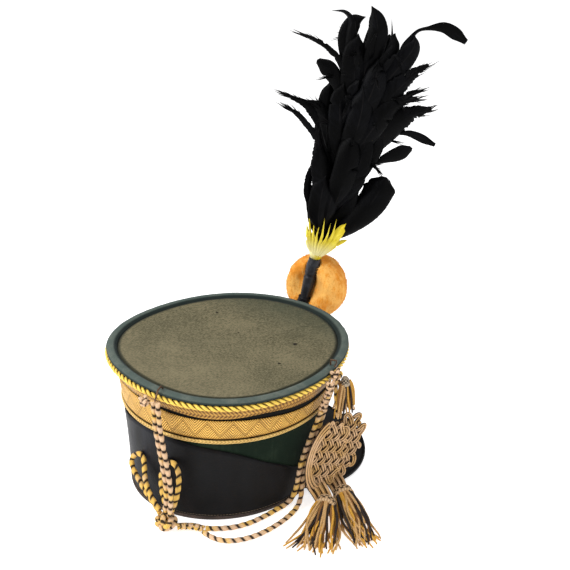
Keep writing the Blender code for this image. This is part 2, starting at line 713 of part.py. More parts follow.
def smooth_route(points, spacing):
    """Read evenly spaced points from a smooth curve through a route's points."""
    route = [Vector(p) for p in points]
    padded = [2 * route[0] - route[1]] + route + [2 * route[-1] - route[-2]]
    fine = []
    steps = 12
    for a, b, c, d in zip(padded, padded[1:], padded[2:], padded[3:]):
        for i in range(steps):
            t = i / steps
            fine.append(0.5 * (2 * b + (c - a) * t + (2 * a - 5 * b + 4 * c - d) * t * t
                               + (3 * b - a - 3 * c + d) * t * t * t))
    fine.append(route[-1])
    runs = [0.0]
    for one, two in zip(fine, fine[1:]):
        runs.append(runs[-1] + (two - one).length)
    count = max(3, round(runs[-1] / spacing) + 1)
    result = []
    index = 0
    for k in range(count):
        want = runs[-1] * k / (count - 1)
        while index < len(runs) - 2 and runs[index + 1] < want:
            index += 1
        share = (want - runs[index]) / (runs[index + 1] - runs[index])
        result.append(fine[index].lerp(fine[index + 1], min(1.0, share)))
    return result


def make_curve(name, points, diameter, material):
    """Make a round bevelled curve through points."""
    curve = bpy.data.curves.new(name, "CURVE")
    curve.dimensions = "3D"
    curve.bevel_depth = diameter / 2
    curve.bevel_resolution = 2
    curve.use_fill_caps = True
    spline = curve.splines.new("POLY")
    spline.points.add(len(points) - 1)
    for target, point in zip(spline.points, points):
        target.co = (*point, 1.0)
    curve.materials.append(material)
    obj = bpy.data.objects.new(name, curve)
    bpy.context.scene.collection.objects.link(obj)
    return obj


def make_cord(name, route, diameter, material):
    """Make a cord along its measured route."""
    points = smooth_route([carried(point) for point in route], CORD_SPACING * diameter)
    make_curve(name, points, diameter, material)


def make_knots(material):
    """Make each knot as a rounded body of its outer shape."""
    for knot in KNOTS:
        bm = bmesh.new()
        bmesh.ops.create_icosphere(bm, subdivisions=2, radius=1.0,
                                   matrix=Matrix.Diagonal((*knot.half, 1.0)))
        obj = new_object(knot.name, bm, material, 60.0)
        obj.location = carried(knot.middle)


def mat_axes():
    """Return the mats' facing, width and length directions."""
    facing = Vector((-math.cos(MAT_SWING), math.sin(MAT_SWING), 0.0))
    width = Vector((0.0, 0.0, 1.0)).cross(facing)
    length = Vector((0.0, -math.sin(MAT_LEAN), math.cos(MAT_LEAN)))
    length = (length - facing * length.dot(facing)).normalized()
    return facing, facing.cross(length), length


def mat_middle(middle):
    """Return a mat's middle, moved as its upper end is carried."""
    top = Vector(middle) + mat_axes()[2] * MAT_LENGTH / 2
    return Vector(middle) + carried(top) - top


def make_mat(name, middle, material):
    """Make a woven mat as an oval plate with a scalloped edge of cord loops."""
    facing, width, length = mat_axes()
    corners = 36
    lobes = 12
    bm = bmesh.new()
    loops = []
    for depth, shrink in ((-0.5, 0.93), (-0.25, 1.0), (0.25, 1.0), (0.5, 0.93)):
        loop = []
        for i in range(corners):
            angle = 2 * math.pi * i / corners
            size = shrink * (1.0 + 0.03 * math.cos(lobes * angle))
            loop.append(middle + facing * MAT_THICKNESS * depth
                        + width * MAT_WIDTH / 2 * size * math.sin(angle)
                        + length * MAT_LENGTH / 2 * size * math.cos(angle))
        loops.append(loop)
    add_loops(bm, loops, closed=False)
    new_object(name, bm, material)


def mat_foot(middle):
    """Return the lowest point of a mat."""
    return middle - mat_axes()[2] * MAT_LENGTH / 2


def make_floor_tassel(tassel, neck, material):
    """Make a tassel that lies on the table: a head, a neck to its mat and a splayed skirt."""
    heading = math.radians(tassel.heading)
    along = Vector((math.cos(heading), math.sin(heading), 0.0))
    across = Vector((0.0, 0.0, 1.0)).cross(along)
    up = Vector((0.0, 0.0, 1.0))
    radius = tassel.radius
    head = carried((*tassel.head, 0.0)) + up * (radius + TABLE_LIFT)
    body = bmesh.new()
    rows = [(-0.85, 0.45), (-0.65, 0.86), (-0.30, 1.00), (0.35, 1.00), (0.70, 0.90)]
    turned(body, head, along, [(a * radius, r * radius) for a, r in rows], 12)
    pieces = bmesh.new()
    reach = neck - head
    side, over = axes_along(reach, up)
    neck_rows = [(0.0, 0.62), (0.50, 0.36), (1.0, 0.11)]
    loft(pieces, [(head + reach * s, side * r * radius, over * r * radius) for s, r in neck_rows], 8)
    spread = math.tan(math.radians(tassel.spread))
    skirt_rows = [(0.45, 0.88, 0.92), (1.5, 1.05, 0.70), (3.0, 1.35, 0.42), (4.2, 1.55, 0.22)]
    stations = []
    for reach_share, width, height in skirt_rows:
        middle = head + along * reach_share * radius
        half_width = max(width * radius * 0.85, spread * reach_share * radius + 0.5 * radius)
        half_height = height * radius
        middle.z = half_height + TABLE_LIFT
        stations.append((middle, across * half_width, up * half_height))
    loft(pieces, stations, 12)
    for i in range(tassel.strands):
        share = i / (tassel.strands - 1) * 2 - 1
        turn = math.radians(tassel.spread) * share
        way = along * math.cos(turn) + across * math.sin(turn)
        square = across * math.cos(turn) - along * math.sin(turn)
        length = tassel.skirt * (1.0 - 0.10 * (i % 2))
        strand_rows = [(0.30, 0.24, 0.24, 0.70), (0.62, 0.20, 0.17, 0.20), (0.86, 0.17, 0.12, 0.12),
                       (1.0, 0.07, 0.06, 0.06)]
        stations = []
        for s, width, height, level in strand_rows:
            middle = head + way * length * s + across * share * radius * 0.45 * (1 - s)
            middle.z = max(level, height) * radius + TABLE_LIFT
            stations.append((middle, square * width * radius, up * height * radius))
        loft(pieces, stations, 5)
    fuse(tassel.name, body, pieces, material)


def make_small_tassel(material):
    """Make the small tassel that hangs from the side knot."""
    head = carried(SMALL_TASSEL_HEAD)
    down = Vector((0.0, 0.0, -1.0))
    radius = SMALL_TASSEL_RADIUS
    body = bmesh.new()
    rows = [(-0.9, 0.40), (-0.6, 0.85), (0.0, 1.0), (0.8, 0.95), (2.4, 0.95)]
    turned(body, head, down, [(a * radius, r * radius) for a, r in rows], 10)
    strands = bmesh.new()
    count = 7
    for i in range(count):
        turn = 2 * math.pi * i / count
        out = Vector((0.55 * math.cos(turn), math.sin(turn), 0.0))
        length = SMALL_TASSEL_SKIRT * (1.0 - 0.08 * (i % 3))
        stations = []
        for s, spread, size in ((0.15, 0.50, 0.45), (0.60, 1.05, 0.34), (1.0, 1.35, 0.16)):
            middle = head + down * length * s + out * radius * spread
            side, over = axes_along(down, out)
            stations.append((middle, side * size * radius, over * size * radius))
        loft(strands, stations, 5)
    fuse("small_tassel", body, strands, material)


def make_hook(name, turn, below, material):
    """Make a bent wire hook that stands on the welt and ends just above a point outside it."""
    rim_top = WALL_TOP + 2 * GAP + LID + WELT_HEIGHT + 2 * GAP
    end = below + Vector((0.0, 0.0, GAP + WIRE / 2))
    rise = max(HOOK_RISE, end.z - rim_top)
    outer = GAP + RIM_CORD
    route = (
        wall_point(turn, rim_top, -HOOK_INSET),
        wall_point(turn, rim_top + rise, -HOOK_INSET),
        wall_point(turn, rim_top + 1.1 * rise, 0.6 * outer),
        end,
    )
    make_curve(name, smooth_route(route, CORD_SPACING * WIRE), WIRE, material)


def make_hooks(material):
    """Make the hook that holds the side knot and the one that holds the hanging pair of cords."""
    side = KNOTS[0]
    make_hook("side_hook", math.radians(78.0),
              carried(side.middle) + Vector((0.3 * side.half[0], 0.0, side.half[2])), material)
    pair = [carried(ROUTES[name][0]) for name in ("hanging_cord_left", "hanging_cord_right")]
    make_hook("back_hook", math.radians(170.5), (pair[0] + pair[1]) / 2, material)


def build():
    """Build the whole hat."""
    clear_scene()
    cloth = finish("green_cloth", (0.030, 0.045, 0.032), 0.9)
    top_cloth = finish("top_cloth", (0.190, 0.175, 0.120), 0.95)
    welt_cloth = finish("welt_cloth", (0.095, 0.125, 0.120), 0.9)
    gold = finish("gold_lace", (0.560, 0.350, 0.100), 0.45, 0.4)
    leather = finish("black_leather", (0.012, 0.012, 0.014), 0.35)
    binding = finish("brown_binding", (0.050, 0.030, 0.022), 0.6)
    wool = finish("orange_wool", (0.800, 0.420, 0.110), 0.95)
    yellow = finish("yellow_feather", (0.800, 0.640, 0.150), 0.7)
    black = finish("black_feather", (0.010, 0.010, 0.012), 0.45)
    cord = finish("pale_cord", (0.720, 0.500, 0.270), 0.7)
    tassel = finish("tassel_thread", (0.620, 0.380, 0.130), 0.65)
    metal = finish("dull_metal", (0.300, 0.270, 0.220), 0.4, 1.0)

    make_crown_wall(cloth)
    make_crown_top(top_cloth)
    make_top_welt(welt_cloth)
    make_rim_cord(gold)
    make_laces(gold)
    make_piping(gold)
    make_leather_guard(leather)
    make_foot_binding(binding)
    make_peak(leather)
    make_peak_binding(leather)
    make_plume_socket(leather)
    make_plume_stem(black)
    make_plume(black, yellow)
    make_pompom(wool)
    make_hooks(metal)
    make_knots(cord)
    mats = (("mat_front", mat_middle(MAT_FRONT)), ("mat_back", mat_middle(MAT_BACK)))
    for row, (name, middle) in zip(FLOOR_TASSELS, mats):
        make_mat(name, middle, cord)
        make_floor_tassel(row, mat_foot(middle) - mat_axes()[2] * NECK_SHORT, tassel)
    make_small_tassel(tassel)
    thicker = {"braid_right": BRAID, "plait_left": PLAIT,
               "mat_cord_front": MAT_CORD, "mat_cord_back": MAT_CORD}
    for name, route in ROUTES.items():
        make_cord(name, route, thicker.get(name, CORD), cord)


build()
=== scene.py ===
"""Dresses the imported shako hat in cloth, leather, gold lace, feathers, wool and cord."""
import json
import logging
import math
import random
from dataclasses import dataclass, field
from enum import Enum
from typing import Callable, Optional, Sequence, TypeVar, Union

import bmesh
import bpy
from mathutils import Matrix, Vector, noise

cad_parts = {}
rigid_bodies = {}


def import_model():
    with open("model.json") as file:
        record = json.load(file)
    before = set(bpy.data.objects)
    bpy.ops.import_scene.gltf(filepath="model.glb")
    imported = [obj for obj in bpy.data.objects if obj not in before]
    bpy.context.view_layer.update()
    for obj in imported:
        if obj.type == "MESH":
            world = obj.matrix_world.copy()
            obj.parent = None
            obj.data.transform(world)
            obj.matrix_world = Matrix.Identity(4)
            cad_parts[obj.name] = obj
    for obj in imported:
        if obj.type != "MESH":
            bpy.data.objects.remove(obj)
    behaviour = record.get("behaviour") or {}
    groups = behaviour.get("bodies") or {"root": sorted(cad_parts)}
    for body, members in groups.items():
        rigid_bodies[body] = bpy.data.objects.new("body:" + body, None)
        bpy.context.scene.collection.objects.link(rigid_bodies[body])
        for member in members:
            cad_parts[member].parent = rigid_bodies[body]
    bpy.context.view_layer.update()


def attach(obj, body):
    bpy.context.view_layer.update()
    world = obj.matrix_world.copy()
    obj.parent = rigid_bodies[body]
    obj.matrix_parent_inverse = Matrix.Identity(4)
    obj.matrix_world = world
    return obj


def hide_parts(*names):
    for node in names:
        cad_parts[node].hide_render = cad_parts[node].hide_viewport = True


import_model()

LOG = logging.getLogger("shako")
Number = Union[int, float]
Colour = tuple[float, float, float]
Rows = Sequence[tuple[float, float]]
Point = TypeVar("Point", float, Vector)


class Weave(Enum):
    """How the thread of a gold lace is laid."""

    PLAITED = "plaited"
    ZIGZAG = "zigzag"


class TipShape(Enum):
    """How a feather's width runs from its root to its tip, as shares of its half width."""

    ROUND = (0.16, 0.52, 0.86, 1.00, 1.00, 0.98, 0.90, 0.66, 0.06)
    BLUNT = (0.16, 0.45, 0.70, 0.86, 0.96, 1.00, 1.00, 0.96, 0.30)
    POINTED = (0.16, 0.60, 0.92, 1.00, 0.88, 0.66, 0.42, 0.22, 0.03)
    PADDLE = (0.20, 0.24, 0.26, 0.28, 0.34, 0.62, 0.98, 1.00, 0.35)
    RIBBON = (0.60, 0.95, 1.00, 0.85, 0.36, 0.30, 0.80, 0.95, 0.45)
    TORN = (0.20, 0.60, 0.90, 1.00, 1.00, 0.86, 0.62, 0.42, 0.16)
    THIN = (0.40, 0.75, 1.00, 0.85, 1.00, 0.80, 0.70, 0.60, 0.20)


ROUND, BLUNT, POINTED, PADDLE, RIBBON, TORN, THIN = TipShape


# Node trees


def operator(operation: str, swap: bool = False) -> Callable[["Signal", object], "Signal"]:
    """Return a method that joins a signal and another value with a Math node."""
    def method(signal: "Signal", other: object) -> "Signal":
        """Return the Math node's result."""
        return signal.math(operation, other, swap)
    return method


class Signal:
    """A node socket that takes part in Python sums."""

    def __init__(self, owner: "Tree", socket: bpy.types.NodeSocket) -> None:
        """Wrap an output socket of a tree."""
        self.owner = owner
        self.socket = socket

    def math(self, operation: str, other: object = 0.0, swap: bool = False) -> "Signal":
        """Return a named Math operation on this signal and another value, in either order."""
        first, second = (other, self) if swap else (self, other)
        return self.owner.add("ShaderNodeMath", {"operation": operation}, {0: first, 1: second})

    __add__ = __radd__ = operator("ADD")
    __mul__ = __rmul__ = operator("MULTIPLY")
    __sub__ = operator("SUBTRACT")
    __rsub__ = operator("SUBTRACT", swap=True)
    __truediv__ = operator("DIVIDE")

    def __abs__(self) -> "Signal":
        """Return the signal without its sign."""
        return self.math("ABSOLUTE")

    def other(self, name: str) -> "Signal":
        """Return another output of the same node."""
        return Signal(self.owner, self.socket.node.outputs[name])

    def step(self, low: float, high: float) -> "Signal":
        """Return 0 below low, 1 above high and a smooth run between them."""
        return self.owner.add("ShaderNodeMapRange", {"interpolation_type": "SMOOTHSTEP"},
                              {"Value": self, "From Min": low, "From Max": high})


class Tree:
    """A node tree with short ways to add to it."""

    def __init__(self, tree: bpy.types.NodeTree) -> None:
        """Wrap a node tree."""
        self.tree = tree

    def feed(self, socket: bpy.types.NodeSocket, value: object) -> None:
        """Link a signal to an input socket, or set the socket's own value."""
        if isinstance(value, Signal):
            self.tree.links.new(value.socket, socket)
        else:
            socket.default_value = value

    def add(self, kind: str, settings: Optional[dict] = None, values: Optional[dict] = None,
            output: Union[int, str] = 0) -> Signal:
        """Add a node.

        Args:
            kind: the node's type.
            settings: its attributes, set before its sockets.
            values: numbers, tuples or signals for its sockets, by name or number.
            output: the output socket to return.

        Returns:
            The output socket as a signal.
        """
        node = self.tree.nodes.new(kind)
        for key, value in (settings or {}).items():
            setattr(node, key, value)
        for key, value in (values or {}).items():
            self.feed(node.inputs[key], value)
        return Signal(self, node.outputs[output])

    def vector(self, operation: str, first: object, second: object = (0.0, 0.0, 0.0)) -> Signal:
        """Return a Vector Math node's result."""
        key = "Scale" if operation == "SCALE" else 1
        output = "Value" if operation in ("DISTANCE", "DOT_PRODUCT") else "Vector"
        return self.add("ShaderNodeVectorMath", {"operation": operation},
                        {0: first, key: second}, output)


class Graph(Tree):
    """A material's node tree."""

    def __init__(self, name: str) -> None:
        """Start a material with one Principled shader."""
        self.material = bpy.data.materials.new(name)
        self.material.use_nodes = True
        super().__init__(self.material.node_tree)
        self.shader = self.tree.nodes["Principled BSDF"]

    def place(self) -> Signal:
        """Return the piece's Object coordinates."""
        return self.add("ShaderNodeTexCoord", output="Object")

    def uv(self) -> Signal:
        """Return the piece's UV map, which is in metres on a band and in shares on a strand."""
        return self.add("ShaderNodeUVMap", {"uv_map": "UVMap"})

    def attribute(self, name: str, output: str = "Fac") -> Signal:
        """Return a value stored on the mesh."""
        return self.add("ShaderNodeAttribute", {"attribute_name": name}, output=output)

    def axis(self, vector: Signal, name: str) -> Signal:
        """Return one axis of a vector."""
        return self.add("ShaderNodeSeparateXYZ", values={0: vector}, output=name)

    def join(self, x: object, y: object, z: object = 0.0) -> Signal:
        """Join three numbers to a vector."""
        return self.add("ShaderNodeCombineXYZ", values={0: x, 1: y, 2: z})

    def noise(self, vector: Signal, scale: Union[Number, tuple[Number, Number, Number]],
              detail: float = 3.0, rough: float = 0.55) -> Signal:
        """Return a noise around 0.5, with one scale or one for each axis."""
        if isinstance(scale, tuple):
            vector = self.add("ShaderNodeMapping", values={"Vector": vector, "Scale": scale})
            scale = 1.0
        values = {"Vector": vector, "Scale": scale, "Detail": detail, "Roughness": rough}
        return self.add("ShaderNodeTexNoise", values=values)

    def mix(self, share: object, first: object, second: object) -> Signal:
        """Mix two colours by a share."""
        first, second = (c if isinstance(c, Signal) else (*c, 1.0) for c in (first, second))
        return self.add("ShaderNodeMix", {"data_type": "RGBA"}, {0: share, 6: first, 7: second}, 2)

    def wave(self, value: Signal, pitch: float) -> Signal:
        """Return a wave from 0 to 1 with a pitch in the value's own unit."""
        return (value * (2 * math.pi / pitch)).math("SINE") * 0.5 + 0.5

    def finish(self, colour: object, rough: object, bump: Optional[Signal] = None,
               distance: float = 0.0003, strength: float = 1.0, metallic: float = 0.0,
               sheen: float = 0.0, tint: Colour = (1.0, 1.0, 1.0), gloss: float = 0.3
               ) -> bpy.types.Material:
        """Set the Principled shader's sockets.

        Args:
            colour: base colour.
            rough: roughness.
            bump: height signal.
            distance: bump height in metres.
            strength: bump strength.
            metallic: metallic share.
            sheen: sheen weight.
            tint: sheen colour.
            gloss: how much light the surface throws back unstained, 0.5 for plain plastic.

        Returns:
            The material.
        """
        facts = {"Base Color": colour if isinstance(colour, Signal) else (*colour, 1.0),
                 "Roughness": rough, "Metallic": metallic, "Specular IOR Level": gloss,
                 "Sheen Weight": sheen, "Sheen Tint": (*tint, 1.0)}
        if bump is not None:
            facts["Normal"] = self.add("ShaderNodeBump", values={
                "Height": bump, "Distance": distance, "Strength": strength})
        for key, value in facts.items():
            self.feed(self.shader.inputs[key], value)
        return self.material


# Finishes


@dataclass(frozen=True)
class GreenCloth:
    """The crown's dark green wool cloth, painted near black from the piping up as shade between the
    laces.
    """

    colour: Colour = (0.0045, 0.0110, 0.0060)
    worn: Colour = (0.0150, 0.0260, 0.0150)
    gap_shade: Colour = (0.0040, 0.0035, 0.0030)

    def build(self) -> bpy.types.Material:
        """Return the material."""
        g = Graph("green_cloth")
        place = g.place()
        nap = g.noise(place, 900, 4, 0.7)
        ribs = g.noise(place, (420, 420, 14), 2)
        cloud = g.noise(place, 28, 4)
        share = (cloud - 0.42) * 1.8 + (ribs - 0.5) * 0.8 + (nap - 0.5) * 0.6
        colour = g.mix(share.step(0.0, 0.8), self.colour, self.worn)
        # Painted shade: near black from the piping upward, where the cloth shows between the laces.
        colour = g.mix(g.axis(place, "Z").step(0.0840, 0.0880), colour, self.gap_shade)
        return g.finish(colour, 0.92, nap * 0.6 + ribs * 0.4, 0.0005, 0.7,
                        sheen=0.06, tint=(0.5, 0.6, 0.5), gloss=0.1)


@dataclass(frozen=True)
class TopCloth:
    """The sunken top's worn olive cloth, with its moth spots, specks, painted shade at the front,
    painted light at the back and a painted shadow round its edge.
    """

    olive: Colour = (0.068, 0.064, 0.036)
    brown: Colour = (0.185, 0.158, 0.092)
    shade: Colour = (0.034, 0.047, 0.032)
    hole: Colour = (0.012, 0.010, 0.008)
    spots: tuple[tuple[float, float, float], ...] = ()

    def build(self) -> bpy.types.Material:
        """Return the material."""
        g = Graph("top_cloth")
        place = g.place()
        weave = g.noise(place, (1100, 330, 300), 3, 0.65)
        cross = g.noise(place, (260, 900, 180), 2, 0.6)
        cloud = g.noise(place, 24, 5, 0.6)
        fine = g.noise(place, 620, 4, 0.7)
        share = ((cloud - 0.5) * 1.2 + (weave - 0.5) * 2.2 + (cross - 0.5) * 1.3
                 + (fine - 0.5) * 0.9 + 0.50)
        colour = g.mix(share.step(0.0, 1.0), self.olive, self.brown)
        # Painted shade in patches over the front of the top.
        front = 1.0 - g.axis(place, "Y").step(-0.135, -0.045)
        colour = g.mix(front * (cloud.step(0.25, 0.65) * 0.45 + 0.45), colour, self.shade)
        # Painted light towards the back of the top.
        back = g.axis(place, "Y").step(0.0, 0.090)
        colour = g.mix(back * 0.22, colour, (0.270, 0.230, 0.140))
        for x, y, radius in self.spots:
            flat = g.join(g.axis(place, "X"), g.axis(place, "Y"), 0.0)
            away = g.vector("DISTANCE", flat, (x, y, 0.0)) + (fine - 0.5) * radius * 1.4
            colour = g.mix(1.0 - away.step(radius * 0.45, radius * 0.95), colour, self.hole)
        edge = g.axis(g.uv(), "X").step(0.970, 1.0)
        colour = g.mix(edge * 0.85, colour, (0.012, 0.016, 0.012))
        return g.finish(colour, 0.95, weave * 0.5 + cross * 0.3 + fine * 0.3, 0.0006, 0.9,
                        sheen=0.05, tint=(0.8, 0.8, 0.7), gloss=0.1)


@dataclass(frozen=True)
class WeltCloth:
    """The rolled welt's faded teal cloth, with painted shade along its inner and outer edges."""

    teal: Colour = (0.068, 0.090, 0.080)
    pale: Colour = (0.128, 0.144, 0.120)
    dark: Colour = (0.008, 0.013, 0.012)

    def build(self) -> bpy.types.Material:
        """Return the material."""
        g = Graph("welt_cloth")
        place = g.place()
        nap = g.noise(place, 1000, 4, 0.7)
        cloud = g.noise(place, 70, 4, 0.6)
        section = g.axis(g.uv(), "Y")
        # Painted shade along the welt's inner edge, where it meets the sunken top.
        inner = 1.0 - section.step(0.0010, 0.0036)
        colour = g.mix(((cloud - 0.40) * 2.2 + (nap - 0.5) * 1.2).step(0.0, 1.0), self.teal,
                       self.pale)
        colour = g.mix(inner * 0.92, colour, self.dark)
        # Painted shade on the lower outer side of the roll, where it curls under.
        outer = section.step(0.0088, 0.0098)
        colour = g.mix(outer * 0.8, colour, self.dark)
        return g.finish(colour, 0.92, nap * 0.7 + cloud * 0.3, 0.0006, 0.8,
                        sheen=0.06, tint=(0.7, 0.8, 0.8), gloss=0.1)


@dataclass(frozen=True)
class GoldLace:
    """A woven gold lace; its pattern runs along the band."""

    name: str
    weave: Weave
    width: float
    light: Colour = (0.880, 0.520, 0.115)
    deep: Colour = (0.250, 0.120, 0.018)
    foot: float = 0.0

    def build(self) -> bpy.types.Material:
        """Return the material."""
        g = Graph(self.name)
        uv = g.uv()
        along, up = g.axis(uv, "X"), g.axis(uv, "Y") - self.foot
        wander = (g.noise(g.place(), 60, 2) - 0.5) * 0.0012
        fine = g.noise(uv, (1500, 2600, 1), 3, 0.6)
        if self.weave is Weave.ZIGZAG:
            fold = (along / 0.0120).math("PINGPONG", 1.0) * 0.0150 + 0.0022 + wander
            above = (up - fold).step(-0.0002, 0.0002)
            rows = g.wave(up - fold, 0.0030) * above + g.wave(up + fold, 0.0030) * (1.0 - above)
            line = 1.0 - abs(up - fold).step(0.0003, 0.0010)
            edge = 1.0 - up.step(0.0006, 0.0016)
            relief = rows * (1.0 - line) * (1.0 - edge * 0.7)
        else:
            fold = (up / (self.width / 3)).math("PINGPONG", 1.0)
            rows = g.wave(along + fold * 0.0036 + wander, 0.0036)
            seams = g.wave(up, self.width / 3)
            relief = rows * 0.6 + seams * 0.4
        cloud = g.noise(g.place(), 36, 4, 0.6)
        share = relief * 1.00 + (fine - 0.5) * 0.7 + (cloud - 0.5) * 1.0 + 0.05
        colour = g.mix(share.step(0.05, 0.95), self.deep, self.light)
        tarnish = g.noise(uv, (18, 60, 1), 3)
        colour = g.mix(tarnish.step(0.56, 0.76) * 0.6, colour, (0.160, 0.080, 0.022))
        rough = 0.62 - relief * 0.20
        return g.finish(colour, rough, relief * 0.8 + fine * 0.25, 0.0006, 0.9, metallic=0.2)


@dataclass(frozen=True)
class GoldThread:
    """Gold thread wound on a cord: bright where it stands out, with painted shade in the crevices
    between its strands.
    """

    name: str = "gold_thread"
    light: Colour = (0.940, 0.640, 0.105)
    deep: Colour = (0.110, 0.050, 0.008)
    shade_inner_reach: float = 0.0014
    shade_outer_reach: float = 0.0024

    def build(self) -> bpy.types.Material:
        """Return the material."""
        g = Graph(self.name)
        along, around = g.attribute("along"), g.attribute("around")
        thread = g.wave(along + around * 0.0020, 0.0009)
        cloud = g.noise(g.place(), 110, 3)
        # Painted shade: the thread darkens towards the cord's middle line, deep between the strands.
        out = g.vector("DISTANCE", g.place(), g.attribute("core", "Vector"))
        share = out.step(self.shade_inner_reach, self.shade_outer_reach) * (0.85 + (cloud - 0.5) * 0.8) + thread * 0.12
        colour = g.mix(share, self.deep, self.light)
        return g.finish(colour, 0.48, thread * 0.5 + cloud * 0.3, 0.0002, 0.8, metallic=0.15)


@dataclass(frozen=True)
class Leather:
    """Worn black leather with a painted blue-grey sheen at one side and brown patches at the other."""

    name: str = "black_leather"
    black: Colour = (0.0013, 0.0012, 0.0015)
    painted_sheen: Colour = (0.0110, 0.0118, 0.0175)
    brown: Colour = (0.0090, 0.0052, 0.0036)

    def build(self) -> bpy.types.Material:
        """Return the material."""
        g = Graph(self.name)
        place = g.place()
        grain = g.add("ShaderNodeTexVoronoi", values={"Vector": place, "Scale": 620.0})
        pores = g.noise(place, 1300, 3, 0.6)
        cloud = g.noise(place, 26, 5, 0.62)
        streak = g.noise(place, (90, 90, 16), 4, 0.6)
        scuff = g.noise(place, (300, 300, 620), 4, 0.75)
        # Painted blue-grey sheen, in streaks, over the side where X is positive.
        left = g.axis(place, "X").step(-0.050, 0.050)
        colour = g.mix((left * 0.90 + 0.10) * streak.step(0.30, 0.72), self.black, self.painted_sheen)
        colour = g.mix((1.0 - left) * cloud.step(0.50, 0.76) * 0.65, colour, self.brown)
        marks = scuff.step(0.64, 0.72) * cloud.step(0.48, 0.62)
        colour = g.mix(marks * 0.6, colour, (0.070, 0.065, 0.062))
        rough = 0.50 + (cloud - 0.5) * 0.4 + marks * 0.2
        return g.finish(colour, rough, grain * 0.5 + pores * 0.3 + streak * 0.4, 0.0004, 0.6,
                        gloss=0.12)


@dataclass(frozen=True)
class Binding:
    """The dark brown binding at the foot."""

    name: str = "brown_binding"
    brown: Colour = (0.034, 0.024, 0.020)
    worn: Colour = (0.105, 0.072, 0.058)

    def build(self) -> bpy.types.Material:
        """Return the material."""
        g = Graph(self.name)
        place = g.place()
        weave = g.noise(place, 900, 4, 0.7)
        cloud = g.noise(place, 70, 4, 0.6)
        colour = g.mix((cloud + (weave - 0.5) * 0.6).step(0.40, 0.80), self.brown, self.worn)
        return g.finish(colour, 0.78, weave, 0.0004, 0.7)


@dataclass(frozen=True)
class Wool:
    """The pompom's dense orange wool."""

    orange: Colour = (0.840, 0.315, 0.035)
    pale: Colour = (0.960, 0.520, 0.130)
    shade: Colour = (0.480, 0.140, 0.012)

    def build(self) -> bpy.types.Material:
        """Return the material."""
        g = Graph("orange_wool")
        place = g.place()
        fibre = g.noise(place, 800, 5, 0.75)
        ribs = g.noise(place, (240, 240, 50), 3, 0.6)
        cloud = g.noise(place, 45, 4, 0.6)
        colour = g.mix((cloud + (ribs - 0.5) * 0.9).step(0.38, 0.66), self.orange, self.pale)
        colour = g.mix((1.0 - fibre).step(0.50, 0.70) * 0.7, colour, self.shade)
        return g.finish(colour, 0.97, fibre * 0.7 + ribs * 0.5, 0.0012, 0.9,
                        sheen=0.25, tint=(1.0, 0.75, 0.4), gloss=0.1)


@dataclass(frozen=True)
class FeatherFinish:
    """A feather's vane: barb lines that slant from its shaft."""

    name: str
    dark: Colour
    light: Colour
    shaft: Colour
    rough: float = 0.5
    gloss: float = 0.2
    root: Colour = (0.0, 0.0, 0.0)
    root_share: float = 0.0

    def build(self) -> bpy.types.Material:
        """Return the material."""
        g = Graph(self.name)
        uv = g.uv()
        across, along = g.axis(uv, "X"), g.axis(uv, "Y")
        slant = along + abs(across) * -0.10
        barbs = g.noise(g.join(slant * 160.0, across * 1.5), 1.0, 2, 0.6)
        soft = g.noise(g.join(slant * 22.0, across * 1.2), 1.0, 3, 0.6)
        # The light colour lies in patches: on the black feathers a painted dark-grey sheen, on the
        # yellow ones their paler yellow.
        patch = g.noise(g.place(), 26.0, 2)
        share = (barbs - 0.5) * 0.7 + (soft - 0.5) * 1.6 + (patch - 0.5) * 2.4 + 0.25
        colour = g.mix(share.step(0.0, 1.0), self.dark, self.light)
        if self.root_share:
            low = 1.0 - along.step(0.02, 0.30)
            colour = g.mix(low * self.root_share, colour, self.root)
        spine = 1.0 - abs(across).step(0.02, 0.07)
        colour = g.mix(spine * patch.step(0.45, 0.65) * 0.6, colour, self.shaft)
        return g.finish(colour, self.rough, barbs + spine * 0.3, 0.0003, 0.5, gloss=self.gloss)


@dataclass(frozen=True)
class BandedCord:
    """A pale cord with dark bands; its blocks change between cream and gold."""

    name: str = "banded_cord"
    pitch: float = 0.0082
    band: float = 0.30
    buff: Colour = (0.760, 0.520, 0.330)
    gold: Colour = (0.860, 0.540, 0.120)
    dark: Colour = (0.014, 0.008, 0.006)
    gold_share: float = 0.5

    def build(self) -> bpy.types.Material:
        """Return the material."""
        g = Graph(self.name)
        along, around = g.attribute("along"), g.attribute("around")
        strand = g.attribute("strand")
        thread = g.wave(along + around * 0.0035, 0.0011)
        fuzz = g.noise(g.place(), 1200, 3, 0.7)
        slow = g.noise(g.join(along * 38.0, strand * 7.3, 2.0), 1.0, 1)
        cloud = g.noise(g.place(), 120, 3)
        colour = g.mix((slow + (cloud - 0.5) * 0.4 - 0.5 + self.gold_share - 0.5).step(-0.08, 0.10),
                       self.buff, self.gold)
        colour = g.mix(thread * 0.25 + (fuzz - 0.5) * 0.4, colour, (0.300, 0.150, 0.060))
        turn = along / self.pitch + (g.wave(around, 1.0) - 0.5) * 0.34 + (fuzz - 0.5) * 0.08
        inside = abs(turn.math("FRACT") - 0.5)
        mask = 1.0 - inside.step(self.band * 0.36, self.band * 0.62)
        soft = 1.0 - inside.step(self.band * 0.5, self.band * 1.3)
        colour = g.mix(soft * 0.35, colour, (0.240, 0.120, 0.045))
        colour = g.mix(mask * 0.97, colour, self.dark)
        return g.finish(colour, 0.80, thread * 0.6 + fuzz * 0.4 - mask * 0.5, 0.0004, 0.8,
                        sheen=0.05, tint=(1.0, 0.9, 0.7), gloss=0.2)


